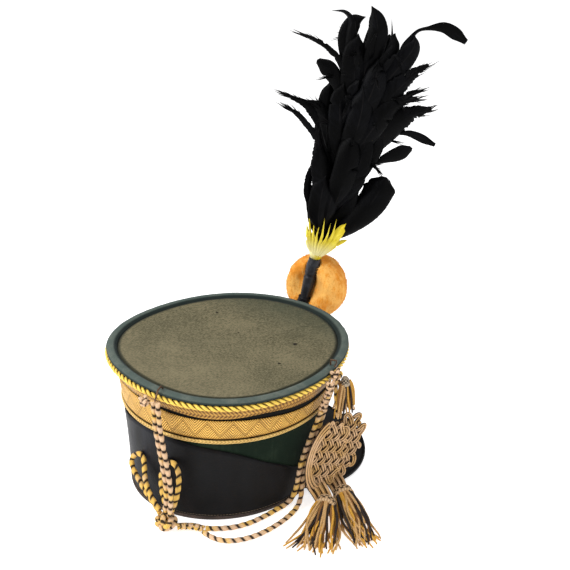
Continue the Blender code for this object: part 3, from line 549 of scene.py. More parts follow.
@dataclass(frozen=True)
class MatCord:
    """The mats' tan cord with a dark line along each side."""

    tan: Colour = (0.680, 0.440, 0.245)
    gold: Colour = (0.560, 0.330, 0.120)
    line: Colour = (0.022, 0.011, 0.008)

    def build(self) -> bpy.types.Material:
        """Return the material."""
        g = Graph("mat_cord")
        uv = g.uv()
        along, around = g.axis(uv, "X"), g.axis(uv, "Y")
        thread = g.wave(along + abs(around - 0.25) * 0.004, 0.0012)
        fuzz = g.noise(g.place(), 1000, 3, 0.7)
        slow = g.noise(g.place(), 60, 3)
        colour = g.mix(slow.step(0.40, 0.66), self.tan, self.gold)
        colour = g.mix(thread * 0.28 + (fuzz - 0.5) * 0.4, colour, (0.240, 0.120, 0.055))
        away = abs((around * 2.0).math("FRACT") - 0.5) * 0.5
        side = away.step(0.105, 0.150)
        colour = g.mix(side * 0.95, colour, self.line)
        return g.finish(colour, 0.80, thread * 0.5 + fuzz * 0.3, 0.0004, 0.8, gloss=0.2)


@dataclass(frozen=True)
class TasselThread:
    """Loose thread whose colour changes from strand to strand: gold, tan, brown and black."""

    name: str = "tassel_thread"
    gold: Colour = (0.740, 0.390, 0.050)
    tan: Colour = (0.640, 0.395, 0.165)
    brown: Colour = (0.230, 0.105, 0.030)
    dark: Colour = (0.022, 0.013, 0.010)
    dark_share: float = 0.14

    def build(self) -> bpy.types.Material:
        """Return the material."""
        g = Graph(self.name)
        pick = g.attribute("pick")
        along, around = g.attribute("along"), g.attribute("around")
        twist = g.wave(along + around * 0.0030, 0.0018)
        cloud = g.noise(g.place(), 130, 3)
        colour = g.mix(pick.step(0.66, 0.74), self.gold, self.tan)
        colour = g.mix(1.0 - pick.step(self.dark_share + 0.10, self.dark_share + 0.13), colour,
                       self.brown)
        colour = g.mix((cloud - 0.35).step(0.0, 0.5) * 0.40, colour, (0.260, 0.120, 0.030))
        colour = g.mix(twist * 0.40, colour, (0.150, 0.065, 0.018))
        colour = g.mix(1.0 - pick.step(self.dark_share - 0.01, self.dark_share + 0.01), colour,
                       self.dark)
        return g.finish(colour, 0.62, twist, 0.0003, 0.8, gloss=0.25)


@dataclass(frozen=True)
class PlainFinish:
    """A simple worn finish with fine relief."""

    name: str
    colour: Colour
    worn: Colour
    rough: float
    scale: float = 500.0
    metallic: float = 0.0

    def build(self) -> bpy.types.Material:
        """Return the material."""
        g = Graph(self.name)
        place = g.place()
        fine = g.noise(place, self.scale, 4, 0.65)
        cloud = g.noise(place, self.scale / 9, 3)
        colour = g.mix((cloud + (fine - 0.5) * 0.6).step(0.35, 0.75), self.colour, self.worn)
        return g.finish(colour, self.rough, fine, 0.0003, 0.6, metallic=self.metallic)


# Meshes


def put(name: str, mesh: bpy.types.Mesh, material: bpy.types.Material, slot: str,
        *replaced: str) -> bpy.types.Object:
    """Link a mesh as a piece of the hat.

    Args:
        name: the piece's name.
        mesh: its mesh, in place.
        material: its finish.
        slot: the record's material slot; not used.
        replaced: the CAD nodes it stands for.

    Returns:
        The piece.
    """
    obj = bpy.data.objects.new(name, mesh)
    bpy.context.scene.collection.objects.link(obj)
    mesh.materials.clear()
    mesh.materials.append(material)
    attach(obj, "root")
    if replaced:
        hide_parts(*replaced)
    LOG.info("%s: %d faces", name, len(mesh.polygons))
    return obj


class Skin:
    """A growing mesh of quads with a UV for each corner."""

    def __init__(self) -> None:
        """Start empty."""
        self.bm = bmesh.new()
        self.layer = self.bm.loops.layers.uv.new("UVMap")

    def grid(self, rows: Sequence[Sequence[Vector]], uvs: Sequence[Sequence[tuple[float, float]]],
             around: bool = False, along: bool = False, caps: bool = False) -> None:
        """Skin rows of points with quads.

        Args:
            rows: rows of points.
            uvs: a UV for each point; a closed direction has one more column or row.
            around: close each row on itself.
            along: close the last row to the first.
            caps: close both ends with a face.
        """
        verts = [[self.bm.verts.new(p) for p in row] for row in rows]
        count, width = len(verts), len(verts[0])
        for i in range(count if along else count - 1):
            for j in range(width if around else width - 1):
                corners = ((i, j), (i, j + 1), (i + 1, j + 1), (i + 1, j))
                face = self.bm.faces.new([verts[a % count][b % width] for a, b in corners])
                for loop, (a, b) in zip(face.loops, corners):
                    loop[self.layer].uv = uvs[a][b]
        if caps:
            self.bm.faces.new(list(reversed(verts[0])))
            self.bm.faces.new(verts[-1])

    def mesh(self, name: str) -> bpy.types.Mesh:
        """Return the finished mesh, smooth and with its faces outward."""
        bmesh.ops.recalc_face_normals(self.bm, faces=self.bm.faces[:])
        mesh = bpy.data.meshes.new(name)
        self.bm.to_mesh(mesh)
        self.bm.free()
        mesh.shade_smooth()
        return mesh


def circle(count: int) -> list[tuple[float, float]]:
    """Return the cosine and sine of evenly spaced turns."""
    turns = [2 * math.pi * i / count for i in range(count)]
    return [(math.cos(turn), math.sin(turn)) for turn in turns]


def blend(a: Point, b: Point, c: Point, d: Point, t: float) -> Point:
    """Return a value between the second and third of four, on a smooth curve through them."""
    return 0.5 * (2 * b + (c - a) * t + (2 * a - 5 * b + 4 * c - d) * t * t
                  + (3 * b - a - 3 * c + d) * t ** 3)


def smooth_line(points: Sequence[Sequence[float]], spacing: float) -> list[Vector]:
    """Read evenly spaced points from a smooth curve through a route's points."""
    route = [Vector(p) for p in points]
    padded = [2 * route[0] - route[1]] + route + [2 * route[-1] - route[-2]]
    fine: list[Vector] = []
    for corners in zip(padded, padded[1:], padded[2:], padded[3:]):
        fine += [blend(*corners, i / 12) for i in range(12)]
    fine.append(route[-1])
    runs = [0.0]
    for one, two in zip(fine, fine[1:]):
        runs.append(runs[-1] + (two - one).length)
    count = max(3, round(runs[-1] / spacing) + 1)
    result, index = [], 0
    for k in range(count):
        want = runs[-1] * k / (count - 1)
        while index < len(runs) - 2 and runs[index + 1] < want:
            index += 1
        share = (want - runs[index]) / max(1e-9, runs[index + 1] - runs[index])
        result.append(fine[index].lerp(fine[index + 1], min(1.0, share)))
    return result


def line_length(points: Sequence[Vector]) -> float:
    """Return a line's length."""
    return sum((b - a).length for a, b in zip(points, points[1:]))


def axes_at(line: Sequence[Vector], i: int, facing: Vector) -> tuple[Vector, Vector, Vector]:
    """Return a line's heading at a point, its face and its side."""
    way = (line[min(i + 1, len(line) - 1)] - line[max(i - 1, 0)]).normalized()
    over = (facing - way * facing.dot(way)).normalized()
    return way, over, way.cross(over)


def sweep(skin: Skin, line: Sequence[Vector], hint: Vector, wide: float, thick: float,
          sides: int = 10, taper: Callable[[float], float] = lambda share: 1.0) -> None:
    """Sweep an oval section along a line; the hint stays the section's thin direction."""
    rows, uvs, run = [], [], 0.0
    for i, point in enumerate(line):
        _, over, left = axes_at(line, i, hint)
        size = taper(i / (len(line) - 1))
        rows.append([point - left * (wide * size * c) + over * (thick * size * s)
                     for c, s in circle(sides)])
        if i:
            run += (point - line[i - 1]).length
        uvs.append([(run, j / sides) for j in range(sides + 1)])
    skin.grid(rows, uvs, around=True, caps=True)


def lathe(skin: Skin, foot: Vector, way: Vector, rows: Rows, sides: int = 32,
          closed: bool = False) -> None:
    """Turn rows of a distance along an axis and a radius, with end caps or closed to a tube."""
    way = way.normalized()
    side = way.orthogonal().normalized()
    over = way.cross(side)
    loops = [[foot + way * along + (side * c + over * s) * radius for c, s in circle(sides)]
             for along, radius in rows]
    uvs = [[(along, j / sides) for j in range(sides + 1)] for along, _ in rows]
    skin.grid(loops, uvs + uvs[:closed], around=True, along=closed, caps=not closed)


# Geometry Nodes


class GeoTree(Tree):
    """A Geometry Nodes group that is built by short calls."""

    def __init__(self, name: str, sizes: dict[str, tuple[str, Number]]) -> None:
        """Start a group with a geometry and named inputs."""
        super().__init__(bpy.data.node_groups.new(name, "GeometryNodeTree"))
        face = self.tree.interface
        for way in ("INPUT", "OUTPUT"):
            face.new_socket("Geometry", in_out=way, socket_type="NodeSocketGeometry")
        self.ids: dict[str, str] = {}
        for key, (kind, value) in sizes.items():
            socket = face.new_socket(key, in_out="INPUT", socket_type=kind)
            socket.default_value = value
            self.ids[key] = socket.identifier
        face.new_socket("Material", in_out="INPUT", socket_type="NodeSocketMaterial")
        self.entry = self.tree.nodes.new("NodeGroupInput")

    def input(self, name: str) -> Signal:
        """Return a group input by its name."""
        return Signal(self, self.entry.outputs[name])

    def store(self, geometry: Signal, name: str, value: Signal, domain: str = "POINT",
              kind: str = "FLOAT") -> Signal:
        """Store a value on the geometry under a name."""
        return self.add("GeometryNodeStoreNamedAttribute", {"data_type": kind, "domain": domain},
                        {"Geometry": geometry, "Name": name, "Value": value})

    def random(self, low: float, high: float, seed: int) -> Signal:
        """Return a seeded random number."""
        return self.add("FunctionNodeRandomValue", {"data_type": "FLOAT"},
                        {2: low, 3: high, "Seed": seed}, 1)

    def close(self, geometry: Signal) -> None:
        """End the group in smooth, realised and dressed geometry."""
        for kind in ("RealizeInstances", "SetShadeSmooth"):
            geometry = self.add("GeometryNode" + kind, values={0: geometry})
        geometry = self.add("GeometryNodeSetMaterial",
                            values={0: geometry, "Material": self.input("Material")})
        self.feed(self.tree.nodes.new("NodeGroupOutput").inputs[0], geometry)

    def run(self, source: bpy.types.Object, name: str, **sizes: object) -> bpy.types.Mesh:
        """Run the group on an object and return the result as a plain mesh."""
        modifier = source.modifiers.new(self.tree.name, "NODES")
        modifier.node_group = self.tree
        for key, value in sizes.items():
            modifier[self.ids[key.replace("_", " ")]] = value
        depsgraph = bpy.context.evaluated_depsgraph_get()
        mesh = bpy.data.meshes.new_from_object(source.evaluated_get(depsgraph),
                                               preserve_all_data_layers=True, depsgraph=depsgraph)
        mesh.name = name
        data = source.data
        bpy.data.objects.remove(source)
        store = bpy.data.curves if isinstance(data, bpy.types.Curve) else bpy.data.meshes
        store.remove(data)
        return mesh


def route_curve(name: str, lines: Sequence[Sequence[Vector]], closed: bool = False
                ) -> bpy.types.Object:
    """Return a curve object with one open or closed spline for each line."""
    curve = bpy.data.curves.new(name, "CURVE")
    curve.dimensions = "3D"
    curve.twist_mode = "MINIMUM"
    for line in lines:
        spline = curve.splines.new("POLY")
        spline.points.add(len(line) - 1)
        for target, point in zip(spline.points, line):
            target.co = (*point, 1.0)
        spline.use_cyclic_u = closed
    obj = bpy.data.objects.new(name, curve)
    bpy.context.scene.collection.objects.link(obj)
    return obj


def strand_tree(faced: bool = False) -> GeoTree:
    """Return the group that lays strands round a route: twisted, plaited or single.

    Args:
        faced: keep the strands' depth towards the Facing input.

    Returns:
        The group.
    """
    real, whole = "NodeSocketFloat", "NodeSocketInt"
    t = GeoTree("faced_strands" if faced else "laid_strands", {
        "Strands": (whole, 1), "Side Reach": (real, 0.0), "Depth Reach": (real, 0.0),
        "Depth Turns": (real, 1.0), "Depth Phase": (real, 1.5708), "Lead": (real, 0.02),
        "Thread Radius": (real, 0.002), "Bead Pitch": (real, 0.0082), "Bead Depth": (real, 0.0),
        "Taper": (real, 0.0), "Step": (real, 0.001), "Sides": (whole, 8),
        "Facing": ("NodeSocketVector", (0.0, 0.0, 1.0))})
    line = t.add("GeometryNodeResampleCurve", {"mode": "LENGTH"},
                 {"Curve": t.input("Geometry"), "Length": t.input("Step")})
    heading = t.add("GeometryNodeInputTangent")
    if faced:
        facing = t.input("Facing")
        lean = t.vector("DOT_PRODUCT", facing, heading)
        square = t.vector("SUBTRACT", facing, t.vector("SCALE", heading, lean))
        line = t.add("GeometryNodeSetCurveNormal", {"mode": "FREE"},
                     {"Curve": line, "Normal": t.vector("NORMALIZE", square)})
    laid = t.add("GeometryNodeDuplicateElements", {"domain": "SPLINE"},
                 {"Geometry": line, "Amount": t.input("Strands")}, "Geometry")
    index = laid.other("Duplicate Index")
    along = t.add("GeometryNodeSplineParameter", output="Length")
    turn = (along / t.input("Lead") + index / t.input("Strands")) * (2 * math.pi)
    deep = turn * t.input("Depth Turns") + t.input("Depth Phase")
    normal = t.add("GeometryNodeInputNormal")
    side = t.vector("CROSS_PRODUCT", heading, normal)
    offset = t.vector("ADD",
                      t.vector("SCALE", side, turn.math("SINE") * t.input("Side Reach")),
                      t.vector("SCALE", normal, deep.math("SINE") * t.input("Depth Reach")))
    laid = t.store(t.store(laid, "along", along), "strand", index)
    laid = t.store(laid, "core", t.add("GeometryNodeInputPosition"), kind="FLOAT_VECTOR")
    laid = t.store(laid, "pick", t.random(0.0, 1.0, 7), "CURVE")
    pulse = ((along / t.input("Bead Pitch") * (2 * math.pi)).math("COSINE") + 1.0) * 0.5
    slim = 1.0 - along.other("Factor").math("POWER", 3.0) * t.input("Taper")
    laid = t.store(laid, "size", slim * (1.0 - (1.0 - pulse) * t.input("Bead Depth")))
    laid = t.add("GeometryNodeSetPosition", values={"Geometry": laid, "Offset": offset})
    ring = t.add("GeometryNodeCurvePrimitiveCircle", {"mode": "RADIUS"},
                 {"Resolution": t.input("Sides"), "Radius": t.input("Thread Radius")})
    ring = t.store(ring, "around", along.other("Factor"))
    size = t.add("GeometryNodeInputNamedAttribute", {"data_type": "FLOAT"}, {"Name": "size"})
    t.close(t.add("GeometryNodeCurveToMesh", values={
        "Curve": laid, "Profile Curve": ring, "Scale": size, "Fill Caps": True}))
    return t


def tuft_tree() -> GeoTree:
    """Return the group that plants short hairs on a surface."""
    real = "NodeSocketFloat"
    t = GeoTree("planted_hairs", {
        "Density": (real, 100000.0), "Length": (real, 0.0015), "Root": (real, 0.0002),
        "Spread": (real, 0.5), "Seed": ("NodeSocketInt", 3)})
    points = t.add("GeometryNodeDistributePointsOnFaces", values={
        "Mesh": t.input("Geometry"), "Density": t.input("Density"), "Seed": t.input("Seed")})
    hair = t.add("GeometryNodeMeshCone", {"fill_type": "NONE"}, {
        "Vertices": 3, "Radius Top": 0.0, "Radius Bottom": t.input("Root"),
        "Depth": t.input("Length")})
    lean = t.add("FunctionNodeRandomValue", {"data_type": "FLOAT_VECTOR"},
                 {0: (-1.0, -1.0, -1.0), 1: (1.0, 1.0, 1.0), "Seed": 11})
    way = t.vector("ADD", points.other("Normal"), t.vector("SCALE", lean, t.input("Spread")))
    turned = t.add("FunctionNodeAlignRotationToVector", {"axis": "Z"}, {"Vector": way})
    planted = t.add("GeometryNodeInstanceOnPoints", values={
        "Points": points, "Instance": hair, "Rotation": turned, "Scale": t.random(0.5, 1.2, 5)})
    joined = t.add("GeometryNodeJoinGeometry")
    for geometry in (t.input("Geometry"), planted):
        t.feed(joined.socket.node.inputs[0], geometry)
    t.close(joined)
    return t


# The crown


SECTIONS = ((0.00, 0.00, 0.00, 0.00, 0.00), (0.25, 0.05, 0.15, 0.12, 0.00),
            (0.45, 0.11, 0.28, 0.25, 0.04), (0.65, 0.21, 0.43, 0.40, 0.18),
            (0.80, 0.33, 0.57, 0.52, 0.41), (0.90, 0.54, 0.72, 0.70, 0.66),
            (1.00, 1.00, 1.00, 1.00, 1.00))
WAVES = ((2, 0.25, 44, 1.00, 33), (3, 1.00, 6, 0.55, -32), (4, 0.60, -40, 0.40, 30))
GUARD_EDGE = ((0, 0.37), (90, 0.37), (100, 0.52), (119, 0.715), (130, 0.85), (147, 0.94),
              (157, 0.95), (166, 1.0), (180, 1.0))
LOWER_LACE_EDGE = ((0, 0.62), (95, 0.59), (119, 0.81), (140, 0.89), (155, 0.85), (166, 0.89),
                   (197, 0.99), (250, 0.85), (310, 0.70), (360, 0.62))
UPPER_LACE_EDGE = ((0, 0.93), (95, 1.00), (119, 0.58), (140, 0.81), (155, 0.76), (166, 0.61),
                   (197, 0.67), (250, 0.72), (310, 0.86), (360, 0.93))
MOTH_SPOTS = ((-0.0499, -0.0492, 0.0030), (-0.0634, -0.0088, 0.0022), (0.0556, -0.0534, 0.0020),
              (0.0086, -0.0329, 0.0014), (-0.0563, -0.0334, 0.0012), (-0.0225, -0.0458, 0.0011),
              (0.0318, -0.1160, 0.0012), (0.0092, -0.1120, 0.0012))


def read_rows(rows: Sequence[Sequence[float]], key: float, column: int = 1) -> float:
    """Read a table's column at a key, straight between rows and held past the ends."""
    if key <= rows[0][0]:
        return rows[0][column]
    for low, high in zip(rows, rows[1:]):
        if key <= high[0]:
            share = (key - low[0]) / (high[0] - low[0])
            return low[column] * (1 - share) + high[column] * share
    return rows[-1][column]


def edge_at(rows: Rows, degrees: float) -> float:
    """Return a wandering edge's share at a turn, with its corners eased."""
    total = 0.0
    for shift in (-6.0, 0.0, 6.0):
        turn = (degrees + shift) % 360
        if rows[-1][0] == 180 and turn > 180:
            turn = 360 - turn
        total += read_rows(rows, turn)
    return total / 3


@dataclass(frozen=True)
class CrownForm:
    """The crown's shape, from the oval foot to the worn top."""

    head_length: float = 0.1920
    head_width: float = 0.1770
    top_length: float = 0.2330
    top_width: float = 0.2240
    top_forward: float = 0.0098
    height: float = 0.1335
    top_tilt: float = 0.0028
    rim_swell: float = 0.0018
    rim_lift: float = 0.0007
    girth: float = 0.6720

    def growth(self, height: float, column: int) -> float:
        """Return how much of one growth is reached at a height, with its corners eased."""
        share = height / self.height
        ease = max(0.0, min(0.03, share, 1.0 - share))
        return sum(read_rows(SECTIONS, share + d, column) for d in (-ease, 0.0, ease)) / 3

    def point(self, degrees: float, height: float, proud: float) -> Vector:
        """Return a point at a turn and a height, proud of the cloth wall."""
        turn = math.radians(degrees)
        swell = self.rim_swell * sum(w[1] * math.cos(w[0] * (turn - math.radians(w[2])))
                                     for w in WAVES)
        lift = self.rim_lift * sum(w[3] * math.cos(w[0] * (turn - math.radians(w[4])))
                                   for w in WAVES)
        worn, forward = self.growth(height, 4), self.growth(height, 3)
        long = (self.head_length + (self.top_length - self.head_length)
                * self.growth(height, 1)) / 2
        wide = (self.head_width + (self.top_width - self.head_width) * self.growth(height, 2)) / 2
        out = proud + swell * worn
        rise = lift * worn - self.top_tilt * forward * worn * math.cos(turn)
        return Vector((-(wide + out) * math.sin(turn),
                       -(long + out) * math.cos(turn) - self.top_forward * forward,
                       height + rise))

    def ring(self, name: str, section: Callable[[float], Sequence[tuple[float, float, float]]],
             steps: int = 220, relief: float = 0.0, grain: float = 60.0) -> bpy.types.Mesh:
        """Skin a closed ring round the crown.

        Args:
            name: the mesh's name.
            section: gives a height, a proud and a UV value for each corner at a turn.
            steps: how many turns.
            relief: how far worn places rise or sink.
            grain: how fine that relief is.

        Returns:
            The mesh.
        """
        rows, uvs = [], []
        for i in range(steps + 1):
            turn = 360 * i / steps
            corners = section(turn)
            run = self.girth * i / steps
            uvs.append([(run, v) for _, _, v in corners] + [(run, corners[0][2])])
            if i < steps:
                row = []
                for height, proud, _ in corners:
                    point = self.point(turn, height, proud)
                    if relief and proud > 0.0004:
                        worn = relief * noise.noise(point * grain)
                        point = self.point(turn, height, proud + worn)
                    row.append(point)
                rows.append(row)
        skin = Skin()
        skin.grid(rows, uvs, around=True, along=True)
        return skin.mesh(name)


def band(low: float, high: float, inner: float, thick: float, count: int = 7,
         dome: float = 0.0) -> list[tuple[float, float, float]]:
    """Return a band's section: up its inner face and down its outer face, domed by a share."""
    corners = [(low, inner, low), (high, inner, high)]
    for i in range(count):
        share = i / (count - 1)
        height = high + (low - high) * share
        corners.append((height, inner + thick + dome * math.sin(math.pi * share), height))
    return corners


def closed_smooth(corners: Rows, steps: int = 3) -> list[tuple[float, float]]:
    """Round a closed section's corners with a smooth curve through them."""
    count, result = len(corners), []
    for i in range(count):
        four = [corners[(i + k) % count] for k in (-1, 0, 1, 2)]
        for j in range(steps):
            result.append(tuple(blend(*(corner[k] for corner in four), j / steps)
                                for k in (0, 1)))
    return result


@dataclass(frozen=True)
class Crown:
    """The cloth drum: its wall, its sunken top and its rolled welt."""

    form: CrownForm
    gap: float = 0.0003
    cloth: float = 0.0025
    foot: float = 0.0011
    wall_top: float = 0.1290
    lid: float = 0.0025
    lid_rise: float = 0.0018
    welt_width: float = 0.0097
    welt_height: float = 0.0037
    overhang: float = 0.0021

    def wall(self) -> None:
        """Make the cloth wall."""
        heights = [self.foot + (self.wall_top - self.foot) * i / 24 for i in range(25)]
        corners = [(h, -self.cloth, h) for h in heights] + [(h, 0.0, h) for h in heights[::-1]]
        mesh = self.form.ring("crown_cloth", lambda turn: corners)
        put("crown_cloth", mesh, GreenCloth().build(), "green_cloth", "crown_wall")

    def top(self) -> None:
        """Make the sunken top."""
        low = self.wall_top + self.gap
        high = low + self.lid
        inside = self.overhang - self.welt_width - self.gap
        steps = 160
        loops = [(low, 0.0, s) for s in (0.01, 0.3, 0.6, 0.85, 1.0)]
        loops += [(high, 0.0, 1.0), (high, inside, 1.0),
                  (high + self.lid_rise, inside - self.lid_rise, 1.0)]
        loops += [(high + self.lid_rise, inside - self.lid_rise, 1.0 - 0.99 * i / 40)
                  for i in range(1, 41)]
        rows, uvs = [], []
        for height, proud, share in loops:
            ring = [self.form.point(360 * j / steps, height, proud) for j in range(steps)]
            middle = sum(ring, Vector()) / steps
            row = [middle.lerp(p, share) for p in ring]
            if height > high and share < 1.0:
                for p in row:
                    sag = 0.0007 * (1.0 - share * share)
                    p.z += 0.00045 * noise.noise(p * 26) * min(1.0, (1 - share) * 12) - sag
            rows.append(row)
            uvs.append([(share if height > high else 1.0, 0.0)] * (steps + 1))
        skin = Skin()
        skin.grid(rows, uvs, around=True, caps=True)
        put("crown_lid", skin.mesh("crown_lid"), TopCloth(spots=MOTH_SPOTS).build(), "top_cloth",
            "crown_top")

    def welt(self) -> None:
        """Make the rolled welt."""
        low = self.wall_top + 2 * self.gap + self.lid
        inner, tall, wide = self.overhang - self.welt_width, self.welt_height, self.welt_width
        corners = [(low, inner), (low + 0.50 * tall, inner + 0.05 * wide),
                   (low + 0.94 * tall, inner + 0.28 * wide), (low + tall, inner + 0.62 * wide),
                   (low + 0.66 * tall, inner + 0.92 * wide), (low + 0.30 * tall, self.overhang),
                   (low, inner + 0.95 * wide)]
        section = [(max(low, h), p, p - inner) for h, p in closed_smooth(corners)]
        mesh = self.form.ring("rolled_welt", lambda turn: section, 260, 0.0004, 90)
        put("rolled_welt", mesh, WeltCloth().build(), "welt_cloth", "top_welt")

    def build(self) -> None:
        """Make every piece of the drum."""
        self.wall()
        self.top()
        self.welt()


@dataclass(frozen=True)
class GoldWork:
    """The gold laces, the piping and the twisted rim cord."""

    form: CrownForm
    strands: GeoTree
    gap: float = 0.0003
    thick: float = 0.0010
    lower_foot: float = 0.0913
    lower_width: float = 0.0232
    upper_head: float = 0.1252
    upper_width: float = 0.0142
    piping_foot: float = 0.0860
    piping_height: float = 0.0038
    piping_thick: float = 0.0025
    cord: float = 0.0056
    cord_height: float = 0.1290
    bead: float = 0.0063

    def laces(self) -> None:
        """Make the two woven laces."""
        mesh = self.form.ring("lower_gold_lace", lambda turn: band(
            self.lower_foot, self.lower_foot + self.lower_width * edge_at(LOWER_LACE_EDGE, turn),
            self.gap, self.thick, 9, 0.0003), 260, 0.0002, 120)
        lace = GoldLace("lower_gold_lace", Weave.ZIGZAG, self.lower_width, foot=self.lower_foot)
        put("lower_gold_lace", mesh, lace.build(), "gold_lace", "lower_lace")
        mesh = self.form.ring("upper_gold_lace", lambda turn: band(
            self.upper_head - self.upper_width * edge_at(UPPER_LACE_EDGE, turn), self.upper_head,
            self.gap, self.thick, 7, 0.0003), 260, 0.0002, 120)
        lace = GoldLace("upper_gold_lace", Weave.PLAITED, self.upper_width,
                        (0.520, 0.280, 0.055), (0.120, 0.050, 0.009))
        put("upper_gold_lace", mesh, lace.build(), "gold_lace", "upper_lace")

    def piping(self) -> None:
        """Make the thin piping under the laces."""
        middle = self.piping_foot + self.piping_height / 2
        corners = []
        for c, s in circle(12):
            height = middle + self.piping_height / 2 * s
            corners.append((height, self.gap + self.piping_thick / 2 * (1 + c), height))
        mesh = self.form.ring("gold_piping", lambda turn: corners, 220)
        lace = GoldLace("gold_piping", Weave.PLAITED, self.piping_height * 2,
                        (0.760, 0.520, 0.170), (0.340, 0.180, 0.040))
        put("gold_piping", mesh, lace.build(), "gold_lace", "lace_piping")

    def rim(self) -> None:
        """Make the twisted cord under the welt."""
        line = [self.form.point(360 * i / 240, self.cord_height, self.gap + self.cord / 2)
                for i in range(240)]
        girth = line_length(line + line[:1])
        turns = round(girth / (2 * self.bead))
        source = route_curve("rim_route", [line], closed=True)
        mesh = self.strands.run(source, "twisted_rim_cord", Strands=2, Side_Reach=0.0013,
                                Depth_Reach=0.0013, Lead=girth / turns, Thread_Radius=0.0015,
                                Step=0.0011, Sides=8)
        put("twisted_rim_cord", mesh, GoldThread().build(), "gold_lace", "rim_cord")

    def build(self) -> None:
        """Make every piece of gold work."""
        self.laces()
        self.piping()
        self.rim()


@dataclass(frozen=True)
class LeatherWork:
    """The leather guard, the foot binding, the peak with its bound edge and the stitches."""

    form: CrownForm
    strands: GeoTree
    gap: float = 0.0003
    cloth: float = 0.0025
    leather: float = 0.0012
    binding: float = 0.0006
    binding_floor: float = 0.0008
    binding_lip: float = 0.0040
    guard_height: float = 0.0857
    peak_reach: float = 0.0500
    peak_root: float = 0.0015
    peak_corner: float = 84.0
    peak_thick: float = 0.0022
    peak_drop: float = 0.0030
    edge_height: float = 0.0040
    edge_thick: float = 0.0022
    stitch: float = 0.0021
    stitch_space: float = 0.0008

    def guard(self) -> bpy.types.Material:
        """Make the guard and return its leather."""
        low = self.binding_floor + self.gap
        leather = Leather().build()
        mesh = self.form.ring("back_leather", lambda turn: band(
            low, self.guard_height * edge_at(GUARD_EDGE, turn), self.gap, self.leather, 16),
            240, 0.0003, 34)
        put("back_leather", mesh, leather, "black_leather", "leather_guard")
        return leather

    def foot(self) -> bpy.types.Material:
        """Make the folded foot binding and return its finish."""
        outer = self.gap + self.leather + self.gap
        inner = -self.cloth - self.gap
        lip, floor, fold = self.binding_lip, self.binding_floor, self.binding
        corners = [(0.0, inner - fold), (lip, inner - fold), (lip, inner), (floor, inner),
                   (floor, outer), (lip, outer), (lip, outer + fold), (lip / 2, outer + fold),
                   (0.0004, outer + fold), (0.0, outer + fold * 0.5)]
        section = [(h, p, h) for h, p in corners]
        binding = Binding().build()
        put("folded_binding", self.form.ring("folded_binding", lambda turn: section), binding,
            "brown_binding", "foot_binding")
        return binding

    def reach(self, turn: float) -> float:
        """Return the peak's reach at a turn."""
        return self.peak_root + self.peak_reach * (1 - (abs(turn) / self.peak_corner) ** 4)

    def under(self, share: float) -> float:
        """Return the height of the peak's underside at a share of its reach."""
        return self.binding_lip + 2 * self.gap - self.peak_drop * share * share

    def peak(self, leather: bpy.types.Material) -> None:
        """Make the peak and its bound edge."""
        root = self.gap + self.leather + self.gap
        rows, edge = [], []
        for i in range(73):
            turn = self.peak_corner * (2 * i / 72 - 1)
            reach = self.reach(turn)
            lows = [(self.under(s / 8 * reach / self.peak_reach), root + s / 8 * reach)
                    for s in range(9)]
            highs = [(h + self.peak_thick, p) for h, p in lows[::-1]]
            rows.append([self.form.point(turn, h, p) for h, p in lows + highs])
            middle = self.under(reach / self.peak_reach) + self.peak_thick / 2
            out = root + reach - self.gap + self.edge_thick / 2
            edge.append([self.form.point(turn, max(middle + self.edge_height / 2 * s, self.gap),
                                         out + self.edge_thick / 2 * c) for c, s in circle(12)])
        for name, loops, node in (("leather_peak", rows, "peak"),
                                  ("peak_edge", edge, "peak_binding")):
            uvs = [[(i * 0.004, j * 0.002) for j in range(len(loops[0]) + 1)]
                   for i in range(len(loops))]
            skin = Skin()
            skin.grid(loops, uvs, around=True, caps=True)
            put(name, skin.mesh(name), leather, "black_leather", node)

    def stitches(self) -> None:
        """Make the line of stitches above the binding's lip."""
        pitch = self.stitch + self.stitch_space
        count = round(self.form.girth * 0.87 / pitch)
        proud = self.gap + self.leather + 0.0002
        lines = []
        for i in range(count):
            middle = 360 * i / count
            if middle < self.peak_corner + 2 or middle > 358 - self.peak_corner:
                continue
            half = 180 / count * self.stitch / pitch
            lines.append([self.form.point(middle + half * k, self.binding_lip + 0.0009, proud)
                          for k in (-1.0, 0.0, 1.0)])
        mesh = self.strands.run(route_curve("stitch_routes", lines), "foot_stitches", Strands=1,
                                Thread_Radius=0.00022, Step=0.0007, Sides=5)
        thread = PlainFinish("stitch_thread", (0.150, 0.120, 0.090), (0.260, 0.200, 0.140), 0.8)
        put("foot_stitches", mesh, thread.build(), "brown_binding")

    def build(self) -> None:
        """Make every piece of leather work."""
        leather = self.guard()
        self.foot()
        self.peak(leather)
        self.stitches()


# The plume and the pompom


@dataclass(frozen=True)
class Vane:
    """One feather: its line in the plume's own millimetres, its width and its tip.

    Each point of the line is a distance up the plume, a reach to the photo's right and a reach
    towards the camera.
    """

    line: tuple[tuple[float, float, float], ...]
    width: float
    tip: TipShape = ROUND
    face: float = 0.0
    cup: float = 0.25
    splits: int = 1


